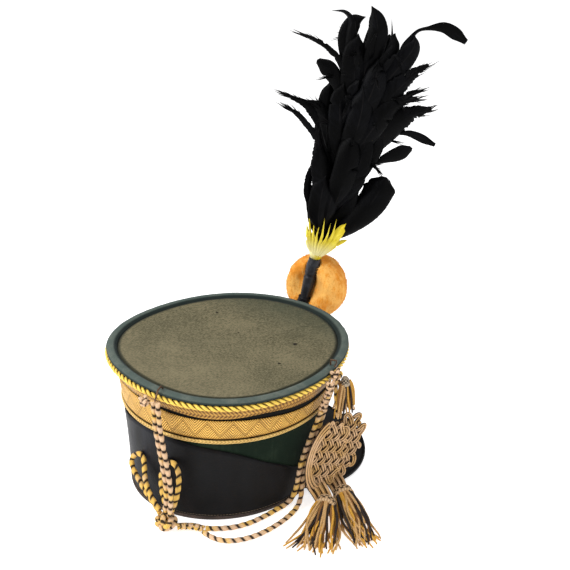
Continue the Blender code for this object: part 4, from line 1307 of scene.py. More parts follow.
BLACK_VANES = (
    Vane(((84, -8, 6), (104, -18, 10), (126, -27, 10), (143, -27, 8), (148, -20, 6)), 10, THIN, 10,
         0.2, 0),
    Vane(((80, -3, 12), (100, -10, 20), (124, -13, 24), (144, -13, 20)), 21, ROUND, 0, 0.3, 0),
    Vane(((84, 0, 10), (106, -2, 20), (128, -2, 22), (148, -1, 18)), 18, ROUND, 4, 0.3, 0),
    Vane(((72, 7, 8), (94, 21, 14), (124, 38, 18), (154, 47, 14)), 29, BLUNT, -10, 0.4, 0),
    Vane(((78, 10, 3), (100, 25, 6), (126, 38, 6), (146, 41, 2)), 24, BLUNT, 14, 0.3, 0),
    Vane(((95, -4, 10), (130, -13, 20), (158, -24, 20), (180, -30, 12)), 22, TORN, 8),
    Vane(((104, 2, 14), (134, 4, 28), (164, 4, 30), (192, 1, 22)), 25, ROUND, 0, 0.35),
    Vane(((108, 6, 12), (142, 14, 24), (172, 16, 24), (197, 15, 18)), 22, ROUND, -6),
    Vane(((124, 6, 10), (148, 20, 12), (166, 36, 10), (178, 54, 8), (187, 66, 6)), 15, PADDLE, 20, 0.2,
         2),
    Vane(((140, 8, 6), (166, 18, 6), (188, 32, 4), (199, 52, 4), (200, 66, 2), (195, 88, 0)), 9,
         RIBBON, 25, 0.2, 0),
    Vane(((126, -4, 8), (156, -16, 12), (176, -32, 10), (184, -42, 8), (192, -54, 4), (196, -66, 2)),
         9, THIN, -20, 0.2, 3),
    Vane(((136, -4, 4), (166, -14, 6), (188, -28, 4), (202, -46, 2), (206, -58, 0), (208, -71, 0)), 13,
         TORN, -15, 0.2, 3),
    Vane(((150, -6, 6), (176, -16, 10), (194, -26, 8), (206, -38, 6), (207, -50, 4)), 16, TORN, -10,
         0.3, 1),
    Vane(((150, 8, 10), (176, 20, 16), (200, 36, 12), (218, 54, 8), (229, 74, 4)), 29, TORN, 12, 0.3,
         2),
    Vane(((150, 6, 14), (184, 14, 22), (212, 26, 20), (230, 42, 12), (236, 58, 6)), 24, TORN, 4, 0.35,
         1),
    Vane(((150, 2, 12), (186, 4, 24), (216, 4, 24), (238, 0, 18)), 24, ROUND, 0, 0.35),
    Vane(((150, 0, 10), (186, -10, 18), (214, -17, 16), (236, -18, 12)), 22, ROUND, 6),
    Vane(((160, -2, 8), (200, -12, 12), (228, -22, 10), (242, -34, 6), (249, -49, 4)), 16, PADDLE, -10,
         0.3, 1),
    Vane(((176, 2, 10), (212, 6, 20), (240, 10, 20), (266, 8, 14)), 24, ROUND, 0, 0.35),
    Vane(((170, 6, 8), (208, 18, 14), (236, 32, 12), (256, 46, 6), (270, 60, 2)), 24, TORN, 10, 0.3, 2),
    Vane(((196, -2, 8), (226, -12, 12), (250, -24, 8), (262, -40, 4), (267, -54, 2), (269, -68, 0)), 8,
         THIN, -18, 0.2, 3),
    Vane(((196, 0, 8), (234, -8, 12), (262, -14, 12), (284, -16, 8)), 24, ROUND, 0),
    Vane(((200, 4, 6), (236, 18, 8), (264, 32, 6), (284, 40, 4), (296, 38, 2)), 22, ROUND, 8, 0.3, 0),
    Vane(((236, 20, 4), (262, 32, 4), (284, 34, 2), (298, 40, 0), (304, 50, 0), (308, 64, 0),
         (305, 78, -2), (300, 90, -3)), 13, RIBBON, 22, 0.2, 0),
    Vane(((230, 8, 6), (262, 14, 8), (284, 17, 6), (305, 12, 4)), 6, POINTED, 0, 0.2, 0),
    Vane(((214, 0, 6), (252, -1, 10), (284, 2, 8), (302, -3, 4), (312, -10, 2)), 21, ROUND, 0, 0.3, 0),
    Vane(((214, -2, 4), (250, -12, 8), (278, -22, 6), (294, -26, 4), (300, -34, 2), (298, -46, 0)), 17,
         POINTED, -8, 0.3, 0),
    Vane(((220, -2, 2), (252, -14, 4), (276, -24, 2), (292, -22, 0), (300, -12, -2)), 20, ROUND, 6,
         0.3, 0),
    Vane(((216, 4, 0), (250, 12, 2), (274, 18, 0), (292, 20, -2)), 22, ROUND, 0),
    Vane(((150, -10, 0), (180, -22, 2), (208, -28, 2), (232, -30, 0)), 18, ROUND, 0),
    Vane(((200, 20, 4), (224, 38, 4), (238, 50, 2), (244, 60, 0)), 12, TORN, 10, 0.3, 2),
)
YELLOW_VANES = (
    Vane(((53, -3, 5), (68, -9, 9), (82, -14, 11), (104, -20, 10)), 3.6, POINTED, 8),
    Vane(((53, -2, 6), (68, -7, 11), (80, -10, 14), (94, -12, 14)), 3.4, POINTED, 4),
    Vane(((53, -1, 6), (68, -4, 12), (80, -6, 15), (90, -6, 16)), 3.6, POINTED, 0),
    Vane(((53, 0, 6), (68, -1, 13), (80, -1, 17), (99, -3, 18)), 3.4, POINTED, 0),
    Vane(((53, 1, 6), (68, 2, 13), (80, 4, 17), (95, 4, 18)), 3.4, POINTED, 0),
    Vane(((53, 1, 6), (68, 5, 12), (82, 9, 16), (101, 9, 17)), 3.8, POINTED, 0),
    Vane(((54, 3, 6), (70, 9, 12), (86, 15, 15), (98, 20, 14)), 10, ROUND, -6, 0.4),
    Vane(((53, 3, 5), (68, 9, 10), (80, 16, 12), (92, 25, 11)), 3, POINTED, -10),
    Vane(((53, 4, 4), (64, 10, 8), (74, 18, 9), (80, 27, 8)), 5, ROUND, -10),
    Vane(((53, 4, 3), (64, 11, 4), (73, 18, 4), (78, 25, 3)), 6, POINTED, 12),
    Vane(((53, -3, 3), (66, -9, 4), (77, -14, 4), (86, -18, 3)), 6, POINTED, 12),
    Vane(((53, 2, -3), (68, 6, -8), (80, 8, -13), (86, 9, -15)), 9, POINTED, 0),
    Vane(((53, -2, -3), (68, -5, -9), (80, -6, -13), (84, -7, -15)), 9, POINTED, 0),
    Vane(((53, 4, -2), (66, 11, -5), (76, 16, -8), (82, 18, -9)), 8, POINTED, 0),
    Vane(((53, -4, -2), (66, -10, -5), (75, -14, -8), (80, -16, -9)), 8, POINTED, 0),
)


@dataclass(frozen=True)
class PlumeLine:
    """The plume's axis and the two directions square to it."""

    form: CrownForm
    lean: float = 14.0
    side_lean: float = 6.7
    turn: float = -3.6
    socket: float = 0.0063

    def axis(self) -> Vector:
        """Return the plume's direction."""
        return Vector((-math.tan(math.radians(self.side_lean)), -math.tan(math.radians(self.lean)),
                       1.0)).normalized()

    def foot(self) -> Vector:
        """Return the point on the axis at the rim cord's height."""
        seat = 0.0003 + 0.0056 + 0.0003 + self.socket / math.cos(math.radians(self.lean))
        return self.form.point(self.turn, 0.1290, seat)

    def outward(self, degrees: float) -> Vector:
        """Return the direction out of the plume at a turn."""
        axis = self.axis()
        hint = Vector((0.0, -1.0, 0.0))
        front = (hint - axis * hint.dot(axis)).normalized()
        side = axis.cross(front)
        turn = math.radians(degrees)
        return front * math.cos(turn) - side * math.sin(turn)

    def point(self, along: float, out: float = 0.0, degrees: float = 0.0) -> Vector:
        """Return a point up the plume and out towards a turn."""
        return self.foot() + self.axis() * along + self.outward(degrees) * out

    def place(self, spot: Sequence[float]) -> Vector:
        """Return a point from a vane's own millimetres."""
        up, right, near = (value / 1000 for value in spot)
        return self.point(up) + self.outward(53) * right + self.outward(141) * near


class FeatherMaker:
    """Cuts feathers as cambered vanes with a shaft, splits and loose barbs."""

    def __init__(self, line: PlumeLine, seed: int) -> None:
        """Start with a plume line and a seed."""
        self.line = line
        self.draw = random.Random(seed)
        self.skin = Skin()

    def outline(self, tip: TipShape, share: float) -> float:
        """Return the vane's half width at a share of its length, 1 where it is widest."""
        marks = tip.value
        spot = share * (len(marks) - 1)
        low = min(int(spot), len(marks) - 2)
        value = blend(marks[max(0, low - 1)], marks[low], marks[low + 1],
                      marks[min(len(marks) - 1, low + 2)], spot - low)
        if tip in (ROUND, BLUNT, PADDLE) and share > 0.86:
            value = min(value, math.sqrt(max(0.0, 1.0 - ((share - 0.86) / 0.14) ** 2)) + 0.02)
        return max(0.02, value)

    def cut(self, vane: Vane) -> None:
        """Cut one feather."""
        spine = smooth_line([self.line.place(p) for p in vane.line], 0.0015)
        count, columns = len(spine), 5
        facing = (self.line.outward(141) + self.line.outward(53) * math.tan(math.radians(vane.face))
                  ).normalized()
        half, whole = vane.width / 2000, line_length(spine)
        splits = [(self.draw.uniform(0.45, 0.93), self.draw.choice((-1, 1)),
                   self.draw.uniform(0.20, 0.50)) for _ in range(vane.splits)]
        lean = self.draw.uniform(-0.10, 0.10)
        torn = vane.tip in (TORN, THIN)
        rows, uvs = [], []
        for i, middle in enumerate(spine):
            share = i / (count - 1)
            way, over, side = axes_at(spine, i, facing)
            size = self.outline(vane.tip, share) * half
            rough = 0.10 if torn and share > 0.62 else 0.01
            edges = {}
            for hand in (-1, 1):
                edges[hand] = size * (1 + hand * lean) * (1 + rough * self.draw.uniform(-1, 1))
                for spot, split_hand, depth in splits:
                    if hand == split_hand and abs(share - spot) < 0.9 / count:
                        edges[hand] *= 1 - depth
            top, under = [], []
            across = [j / columns for j in range(-columns, columns + 1)]
            for u in across:
                width = edges[1] if u > 0 else edges[-1]
                slant = min(0.42 * abs(u) * width * min(1.0, (1 - share) * 5),
                            0.35 * (1 - share) * whole)
                spot = middle + side * (u * width) - over * (vane.cup * half * u * u) + way * slant
                thick = 0.00022 + 0.00030 * max(0.0, 1 - abs(u) * 5) * (1 - 0.7 * share)
                top.append(spot + over * thick)
                under.append(spot - over * thick * 0.6)
            rows.append(top + under[::-1])
            uvs.append([(u, share * whole * 12) for u in across + across[::-1] + across[:1]])
        self.skin.grid(rows, uvs, around=True, caps=True)
        if torn:
            self.barbs(spine, facing, half, vane.tip)

    def barbs(self, spine: Sequence[Vector], facing: Vector, half: float, tip: TipShape) -> None:
        """Add soft loose barbs at a feather's end."""
        count = len(spine)
        for i in range(int(count * 0.80), count):
            way, over, side = axes_at(spine, i, facing)
            size = self.outline(tip, i / (count - 1)) * half
            for hand in (-1, 1):
                if self.draw.random() < 0.30:
                    continue
                lead = self.draw.uniform(0.0070, 0.0150)
                reach = size * self.draw.uniform(0.25, 1.00) + self.draw.uniform(0.0, 0.0010)
                end = spine[i] + side * hand * reach + way * lead - over * reach * 0.3
                start = spine[i] + side * hand * size * 0.30 - way * 0.0010
                line = [start, start.lerp(end, 0.5) + side * hand * reach * 0.18, end]
                sweep(self.skin, line, over, self.draw.uniform(0.0004, 0.0009), 0.00018, 4,
                      lambda s: 1.05 - 0.95 * s)

    def fill(self, count: int, low: float, high: float, envelope: Rows, width: Rows) -> None:
        """Add seeded feathers that fill the plume's body.

        Args:
            count: how many.
            low: the lowest tip, in millimetres up the plume.
            high: the highest tip.
            envelope: the tips' reach at a height.
            width: the vanes' width at a height.
        """
        for i in range(count):
            tip = low + (high - low) * (i + self.draw.random()) / count
            turn = math.radians(i * 137.5)
            reach = read_rows(envelope, tip) * self.draw.uniform(0.60, 1.0)
            right = reach * math.cos(turn) + 3.0
            near = reach * math.sin(turn) * 0.85
            length = self.draw.uniform(52, 76)
            start = max(70.0, tip - length)
            flare = self.draw.uniform(1.0, 1.12)
            mids = [(start + (tip - start) * s, right * k, near * k)
                    for s, k in ((0.0, 0.12), (0.4, 0.55), (0.75, 0.86), (1.0, flare))]
            face = self.draw.uniform(-35, 35) + (0 if near > 0 else 20)
            shape = self.draw.choice((ROUND, POINTED, POINTED))
            self.cut(Vane(tuple(mids), read_rows(width, tip) * self.draw.uniform(0.85, 1.15),
                          shape, face, self.draw.uniform(0.2, 0.5),
                          self.draw.choice((0, 0, 1, 1))))

    def wisps(self, count: int, low: float, high: float, envelope: Rows) -> None:
        """Add seeded thin feathers whose torn tips curl out past the body."""
        for i in range(count):
            tip = low + (high - low) * (i + self.draw.random()) / count
            turn = math.radians(i * 137.5 + 40)
            reach = read_rows(envelope, tip) * self.draw.uniform(0.85, 1.15)
            right, near = reach * math.cos(turn) + 3.0, reach * math.sin(turn) * 0.85
            start, droop = tip - self.draw.uniform(34, 48), self.draw.uniform(-9, 3)
            mids = [(start, right * 0.35, near * 0.35), (tip - 12, right * 0.80, near * 0.80),
                    (tip, right * 1.06, near * 1.06), (tip + droop, right * 1.34, near * 1.34)]
            self.cut(Vane(tuple(mids), self.draw.uniform(6, 11),
                          self.draw.choice((THIN, TORN, POINTED)),
                          self.draw.uniform(-30, 30), 0.2, 1))


@dataclass(frozen=True)
class Plume:
    """The feather plume with its stem, its socket and the wool pompom."""

    line: PlumeLine
    hairs: GeoTree
    stem_top: float = 0.0500
    stem_wide: float = 0.0070
    stem_slim: float = 0.0050
    stem_below: float = 0.0270
    socket_below: float = 0.0190
    socket_above: float = 0.0075
    socket_outer: float = 0.0063
    socket_inner: float = 0.0053
    pompom_radius: float = 0.0340
    pompom_depth: float = 0.0460
    pompom_along: float = 0.0180
    pompom_ahead: float = 0.0180

    def socket(self) -> None:
        """Make the leather tube that holds the stem."""
        low, high, outer, inner = (-self.socket_below, self.socket_above, self.socket_outer,
                                   self.socket_inner)
        rows = [(low, inner)] + [(low + (high - low) * i / 10, outer) for i in range(11)]
        skin = Skin()
        lathe(skin, self.line.point(0.0), self.line.axis(), rows + [(high, inner)], 28, True)
        put("stem_socket", skin.mesh("stem_socket"), Leather("socket_leather").build(),
            "black_leather", "plume_socket")

    def stem(self) -> None:
        """Make the wrapped stem."""
        rows = [(-self.stem_below, 0.8 * self.stem_slim), (-self.socket_below, self.stem_slim),
                (self.socket_above + 0.0003, self.stem_slim), (0.5 * self.stem_top,
                                                               0.9 * self.stem_wide),
                (0.85 * self.stem_top, self.stem_wide), (self.stem_top, 0.85 * self.stem_wide)]
        fine = []
        for i in range(76):
            along = rows[0][0] + (rows[-1][0] - rows[0][0]) * i / 75
            wrap = 0.0003 * abs(math.sin(along * math.pi / 0.0030))
            band_up = -0.0006 if abs(along - 0.031) < 0.0008 else 0.0
            fine.append((along, read_rows(rows, along) - 0.0003 + wrap + band_up))
        skin = Skin()
        lathe(skin, self.line.point(0.0), self.line.axis(), fine)
        finish = PlainFinish("wrapped_stem", (0.006, 0.006, 0.008), (0.034, 0.038, 0.050), 0.40,
                             300.0)
        put("wrapped_stem", skin.mesh("wrapped_stem"), finish.build(), "black_feather",
            "plume_stem")

    def feathers(self) -> None:
        """Make the yellow feathers and the black ones."""
        yellow = FeatherMaker(self.line, 4)
        lathe(yellow.skin, self.line.point(0.0), self.line.axis(),
              [(0.0503, 0.0050), (0.0550, 0.0074), (0.0615, 0.0064), (0.0660, 0.0030)])
        for vane in YELLOW_VANES:
            yellow.cut(vane)
        finish = FeatherFinish("yellow_feather", (0.700, 0.540, 0.020), (0.950, 0.840, 0.120),
                               (0.900, 0.800, 0.300), 0.62, 0.2, (0.950, 0.900, 0.560), 0.8)
        put("yellow_feathers", yellow.skin.mesh("yellow_feathers"), finish.build(), "yellow_feather",
            "plume_yellow")
        black = FeatherMaker(self.line, 9)
        lathe(black.skin, self.line.point(0.0), self.line.axis(),
              [(0.066, 0.0030), (0.10, 0.0040), (0.24, 0.0030), (0.285, 0.0008)], 10)
        for vane in BLACK_VANES:
            black.cut(vane)
        # Its second colour is a painted dark-grey sheen on the black vanes.
        dark = FeatherFinish("black_feather", (0.0002, 0.0002, 0.0003), (0.0022, 0.0023, 0.0032),
                             (0.009, 0.008, 0.008), 0.45, 0.05)
        put("black_feathers", black.skin.mesh("black_feathers"), dark.build(), "black_feather",
            "plume_black")
        filling = FeatherMaker(self.line, 21)
        filling.fill(40, 128.0, 290.0,
                     ((120, 22), (150, 30), (200, 34), (240, 32), (270, 26), (295, 16)),
                     ((120, 21), (200, 25), (260, 21), (295, 14)))
        filling.wisps(26, 160.0, 296.0, ((150, 27), (200, 31), (240, 31), (270, 26), (295, 17)))
        put("body_feathers", filling.skin.mesh("body_feathers"), dark.build(), "black_feather")

    def pompom(self) -> None:
        """Make the wool pompom with its pressed groove and its fuzz."""
        middle = self.line.point(self.pompom_along, self.pompom_ahead, 0.0)
        way = self.line.outward(0.0)
        outline = [(0.02, -0.62), (0.34, -0.66), (0.56, -0.84), (0.74, -0.86), (0.92, -0.52),
                   (1.00, -0.02), (0.93, 0.44), (0.74, 0.76), (0.42, 0.95), (0.02, 0.99)]
        path = smooth_line([(o, a, 0.0) for o, a in outline], 0.035)
        rows = [(p.y * self.pompom_depth / 2, max(0.0002, p.x) * self.pompom_radius) for p in path]
        skin = Skin()
        lathe(skin, middle, way, rows, 120)
        axis = self.line.axis()
        side = axis.cross(way)
        for vert in skin.bm.verts:
            out = (vert.co - middle).normalized()
            rib = abs(math.sin(6.5 * math.atan2(out.dot(side), out.dot(axis)))) ** 0.5
            rough = noise.noise(vert.co * 120) * 0.0008 + noise.noise(vert.co * 420) * 0.0003
            vert.co += out * (rough + (rib - 0.8) * 0.0005 - 0.0003)
            local = vert.co - self.line.point(0.0)
            along, across = local.dot(axis), local.dot(side)
            room = (self.socket_outer if along < self.socket_above + 0.001 else
                    self.stem_wide) + 0.0006
            if abs(across) < room:
                front = math.sqrt(room * room - across * across)
                ahead = local.dot(way)
                if ahead < front:
                    vert.co += way * (front - ahead)
        base = bpy.data.objects.new("wool_base", skin.mesh("wool_base"))
        bpy.context.scene.collection.objects.link(base)
        mesh = self.hairs.run(base, "wool_pompom", Density=420000.0, Length=0.0019, Root=0.00016,
                              Spread=0.55)
        put("wool_pompom", mesh, Wool().build(), "orange_wool", "pompom")

    def build(self) -> None:
        """Make every piece of the plume."""
        self.socket()
        self.stem()
        self.feathers()
        self.pompom()


# Cords, knots, mats and tassels


ROUTES = {
    "braid_right": (
        (-0.1190, -0.0160, 0.1288), (-0.1180, -0.0163, 0.1210), (-0.1150, -0.0158, 0.1110),
        (-0.1116, -0.0142, 0.0985)),
    "cord_inner": (
        (-0.1113, -0.0115, 0.0979), (-0.1072, -0.0055, 0.0780), (-0.1040, 0.0002, 0.0620),
        (-0.1014, 0.0046, 0.0470), (-0.1000, 0.0074, 0.0320), (-0.0986, 0.0098, 0.0180),
        (-0.0965, 0.0138, 0.0074), (-0.0942, 0.0215, 0.0031), (-0.0929, 0.0310, 0.0030),
        (-0.0909, 0.0460, 0.0030), (-0.0870, 0.0625, 0.0030), (-0.0800, 0.0770, 0.0030),
        (-0.0708, 0.0876, 0.0030), (-0.0604, 0.0960, 0.0031)),
    "cord_outer": (
        (-0.1113, -0.0172, 0.0977), (-0.1082, -0.0112, 0.0780), (-0.1052, -0.0056, 0.0620),
        (-0.1026, -0.0012, 0.0470), (-0.1014, 0.0016, 0.0320), (-0.1018, 0.0046, 0.0170),
        (-0.1038, 0.0100, 0.0068), (-0.1066, 0.0210, 0.0031), (-0.1085, 0.0400, 0.0030),
        (-0.1070, 0.0590, 0.0030), (-0.1030, 0.0755, 0.0030), (-0.0962, 0.0885, 0.0030),
        (-0.0880, 0.0970, 0.0030), (-0.0790, 0.1012, 0.0030), (-0.0705, 0.1020, 0.0030),
        (-0.0624, 0.1013, 0.0031)),
    "plait_left": (
        (-0.0397, 0.1117, 0.0054), (-0.0450, 0.1060, 0.0050), (-0.0515, 0.1015, 0.0050),
        (-0.0600, 0.0990, 0.0050)),
    "hanging_cord_left": (
        (-0.0142, 0.1100, 0.1285), (-0.0157, 0.1106, 0.1160), (-0.0177, 0.1117, 0.1030),
        (-0.0212, 0.1130, 0.0900), (-0.0250, 0.1142, 0.0770), (-0.0287, 0.1155, 0.0640),
        (-0.0317, 0.1165, 0.0500), (-0.0320, 0.1170, 0.0350), (-0.0297, 0.1170, 0.0187)),
    "hanging_cord_right": (
        (-0.0198, 0.1100, 0.1285), (-0.0213, 0.1106, 0.1160), (-0.0233, 0.1117, 0.1030),
        (-0.0268, 0.1130, 0.0900), (-0.0306, 0.1142, 0.0770), (-0.0343, 0.1155, 0.0640),
        (-0.0373, 0.1165, 0.0500), (-0.0376, 0.1170, 0.0350), (-0.0353, 0.1170, 0.0177)),
    "loop_left": (
        (-0.0190, 0.1130, 0.0102), (-0.0080, 0.1098, 0.0150), (0.0045, 0.1078, 0.0225),
        (0.0160, 0.1054, 0.0300), (0.0250, 0.1031, 0.0370), (0.0285, 0.1011, 0.0435),
        (0.0263, 0.0989, 0.0492), (0.0208, 0.0974, 0.0520), (0.0152, 0.0984, 0.0503),
        (0.0110, 0.1014, 0.0445), (0.0070, 0.1054, 0.0365), (0.0005, 0.1092, 0.0290),
        (-0.0090, 0.1124, 0.0220), (-0.0205, 0.1153, 0.0157)),
    "loop_right": (
        (-0.0252, 0.1089, 0.0158), (-0.0185, 0.1070, 0.0245), (-0.0138, 0.1044, 0.0350),
        (-0.0120, 0.1016, 0.0460), (-0.0144, 0.0992, 0.0555), (-0.0189, 0.0983, 0.0600),
        (-0.0249, 0.0976, 0.0600), (-0.0299, 0.0983, 0.0550), (-0.0334, 0.1010, 0.0470),
        (-0.0344, 0.1040, 0.0370), (-0.0334, 0.1068, 0.0270), (-0.0310, 0.1096, 0.0173)),
    "mat_cord_front": (
        (-0.1176, -0.0252, 0.1273), (-0.1182, -0.0242, 0.1180), (-0.1200, -0.0228, 0.1050),
        (-0.1234, -0.0212, 0.0917)),
    "mat_cord_back": (
        (-0.1157, -0.0294, 0.1289), (-0.1163, -0.0340, 0.1170), (-0.1192, -0.0402, 0.1030),
        (-0.1243, -0.0455, 0.0890)),
}


@dataclass(frozen=True)
class FreeCord:
    """One free cord: its node, its diameter, how it lies and where it ends."""

    node: str
    name: str
    diameter: float
    lay: str
    far_end: str
    gold: float


FREE_CORDS = (
    FreeCord("cord_inner", "inner_cord", 0.0052, "loose", "object", 0.50),
    FreeCord("cord_outer", "outer_cord", 0.0052, "loose", "object", 0.44),
    FreeCord("hanging_cord_left", "left_hanging_cord", 0.0052, "hanging", "knot", 0.46),
    FreeCord("hanging_cord_right", "right_hanging_cord", 0.0052, "hanging", "knot", 0.42),
    FreeCord("loop_left", "left_loop", 0.0052, "loose", "knot", 0.62),
    FreeCord("loop_right", "right_loop", 0.0052, "loose", "knot", 0.62),
    FreeCord("mat_cord_front", "front_mat_cord", 0.0040, "hanging", "object", 0.50),
    FreeCord("mat_cord_back", "back_mat_cord", 0.0040, "hanging", "object", 0.50),
)


@dataclass
class CordWork:
    """The banded cords, the braids and the knots that gather them."""

    strands: GeoTree
    faced: GeoTree
    pitch: float = 0.0082
    extras: dict[str, list[bpy.types.Object]] = field(default_factory=dict)

    def knot(self, name: str, node: str, middle: Sequence[float], half: Sequence[float],
             thread: float, laps: tuple[int, int], bands: BandedCord) -> bpy.types.Object:
        """Make a knot as a banded cord wound on a ring form.

        Args:
            name: the piece's name.
            node: the CAD node it stands for.
            middle: its middle.
            half: its half sizes.
            thread: the cord's radius in it.
            laps: how often the cord goes round and through.
            bands: its finish.

        Returns:
            The piece.
        """
        line = []
        around, through = laps
        for i in range(180):
            t = 2 * math.pi * i / 180
            ring = 0.62 + 0.38 * math.cos(through * t)
            spot = Vector((ring * math.cos(around * t), 0.95 * math.sin(through * t),
                           ring * math.sin(around * t)))
            inner = [max(0.0005, h - thread) for h in half]
            line.append(Vector(middle) + Vector([s * h for s, h in zip(spot, inner)]))
        source = route_curve(name + "_route", [line], closed=True)
        mesh = self.strands.run(source, name, Strands=1, Thread_Radius=thread, Step=0.0009,
                                Bead_Pitch=bands.pitch, Bead_Depth=0.10, Sides=10)
        return put(name, mesh, bands.build(), "pale_cord", node)

    def braid(self, name: str, node: str, facing: Vector, reach: tuple[float, float],
              lead: float, thread: float, bands: BandedCord) -> bpy.types.Object:
        """Make a braid whose strands cross over each other along its route."""
        line = smooth_line(ROUTES[node], 0.0012)
        source = route_curve(name + "_route", [line])
        mesh = self.faced.run(source, name, Strands=4, Side_Reach=reach[0], Depth_Reach=reach[1],
                              Depth_Turns=2.0, Lead=lead, Thread_Radius=thread, Step=0.0008,
                              Bead_Pitch=bands.pitch, Bead_Depth=0.12, Sides=9, Facing=facing)
        return put(name, mesh, bands.build(), "pale_cord", node)

    def cord(self, facts: FreeCord) -> None:
        line = smooth_line(ROUTES[facts.node], 0.0010)
        source = route_curve(facts.name + "_route", [line])
        mesh = self.strands.run(source, facts.name, Strands=1, Thread_Radius=facts.diameter / 2,
                                Bead_Pitch=self.pitch, Bead_Depth=0.17, Step=0.0009, Sides=14)
        bands = BandedCord(facts.name, self.pitch, gold_share=facts.gold)
        piece = put(facts.name, mesh, bands.build(), "pale_cord", facts.node)
        path = smooth_line(ROUTES[facts.node], line_length(line) / 28)
        line_length(line)

    def build(self) -> None:
        """Make the braids and knots, then the free cords."""
        fine = BandedCord("braid_cord", 0.0052, 0.34, gold_share=0.40)
        knotted = BandedCord("knot_cord", 0.0064, 0.26, gold_share=0.52)
        pale = BandedCord("pale_knot_cord", 0.0050, 0.20, gold_share=0.30)
        braid = self.braid("right_braid", "braid_right", Vector((-1.0, 0.35, 0.0)),
                           (0.0030, 0.0012), 0.0150, 0.0018, fine)
        plait = self.braid("left_plait", "plait_left", Vector((0.0, 0.0, 1.0)),
                           (0.0027, 0.0011), 0.0150, 0.0016, knotted)
        side = self.knot("side_cord_knot", "side_knot", (-0.1178, -0.0249, 0.1340),
                         (0.0058, 0.0062, 0.0062), 0.0018, (2, 3), fine)
        back = self.knot("back_cord_knot", "back_knot", (-0.0056, 0.1125, 0.1275),
                         (0.0060, 0.0042, 0.0060), 0.0016, (2, 3), pale)
        slide = self.knot("sliding_cord_knot", "slide_knot", (-0.0300, 0.1167, 0.0093),
                          (0.0105, 0.0095, 0.0088), 0.0026, (3, 5), knotted)
        self.extras = {"cord_inner": [braid], "cord_outer": [plait],
                       "hanging_cord_left": [slide, back], "mat_cord_front": [side]}
        for facts in FREE_CORDS:
            self.cord(facts)


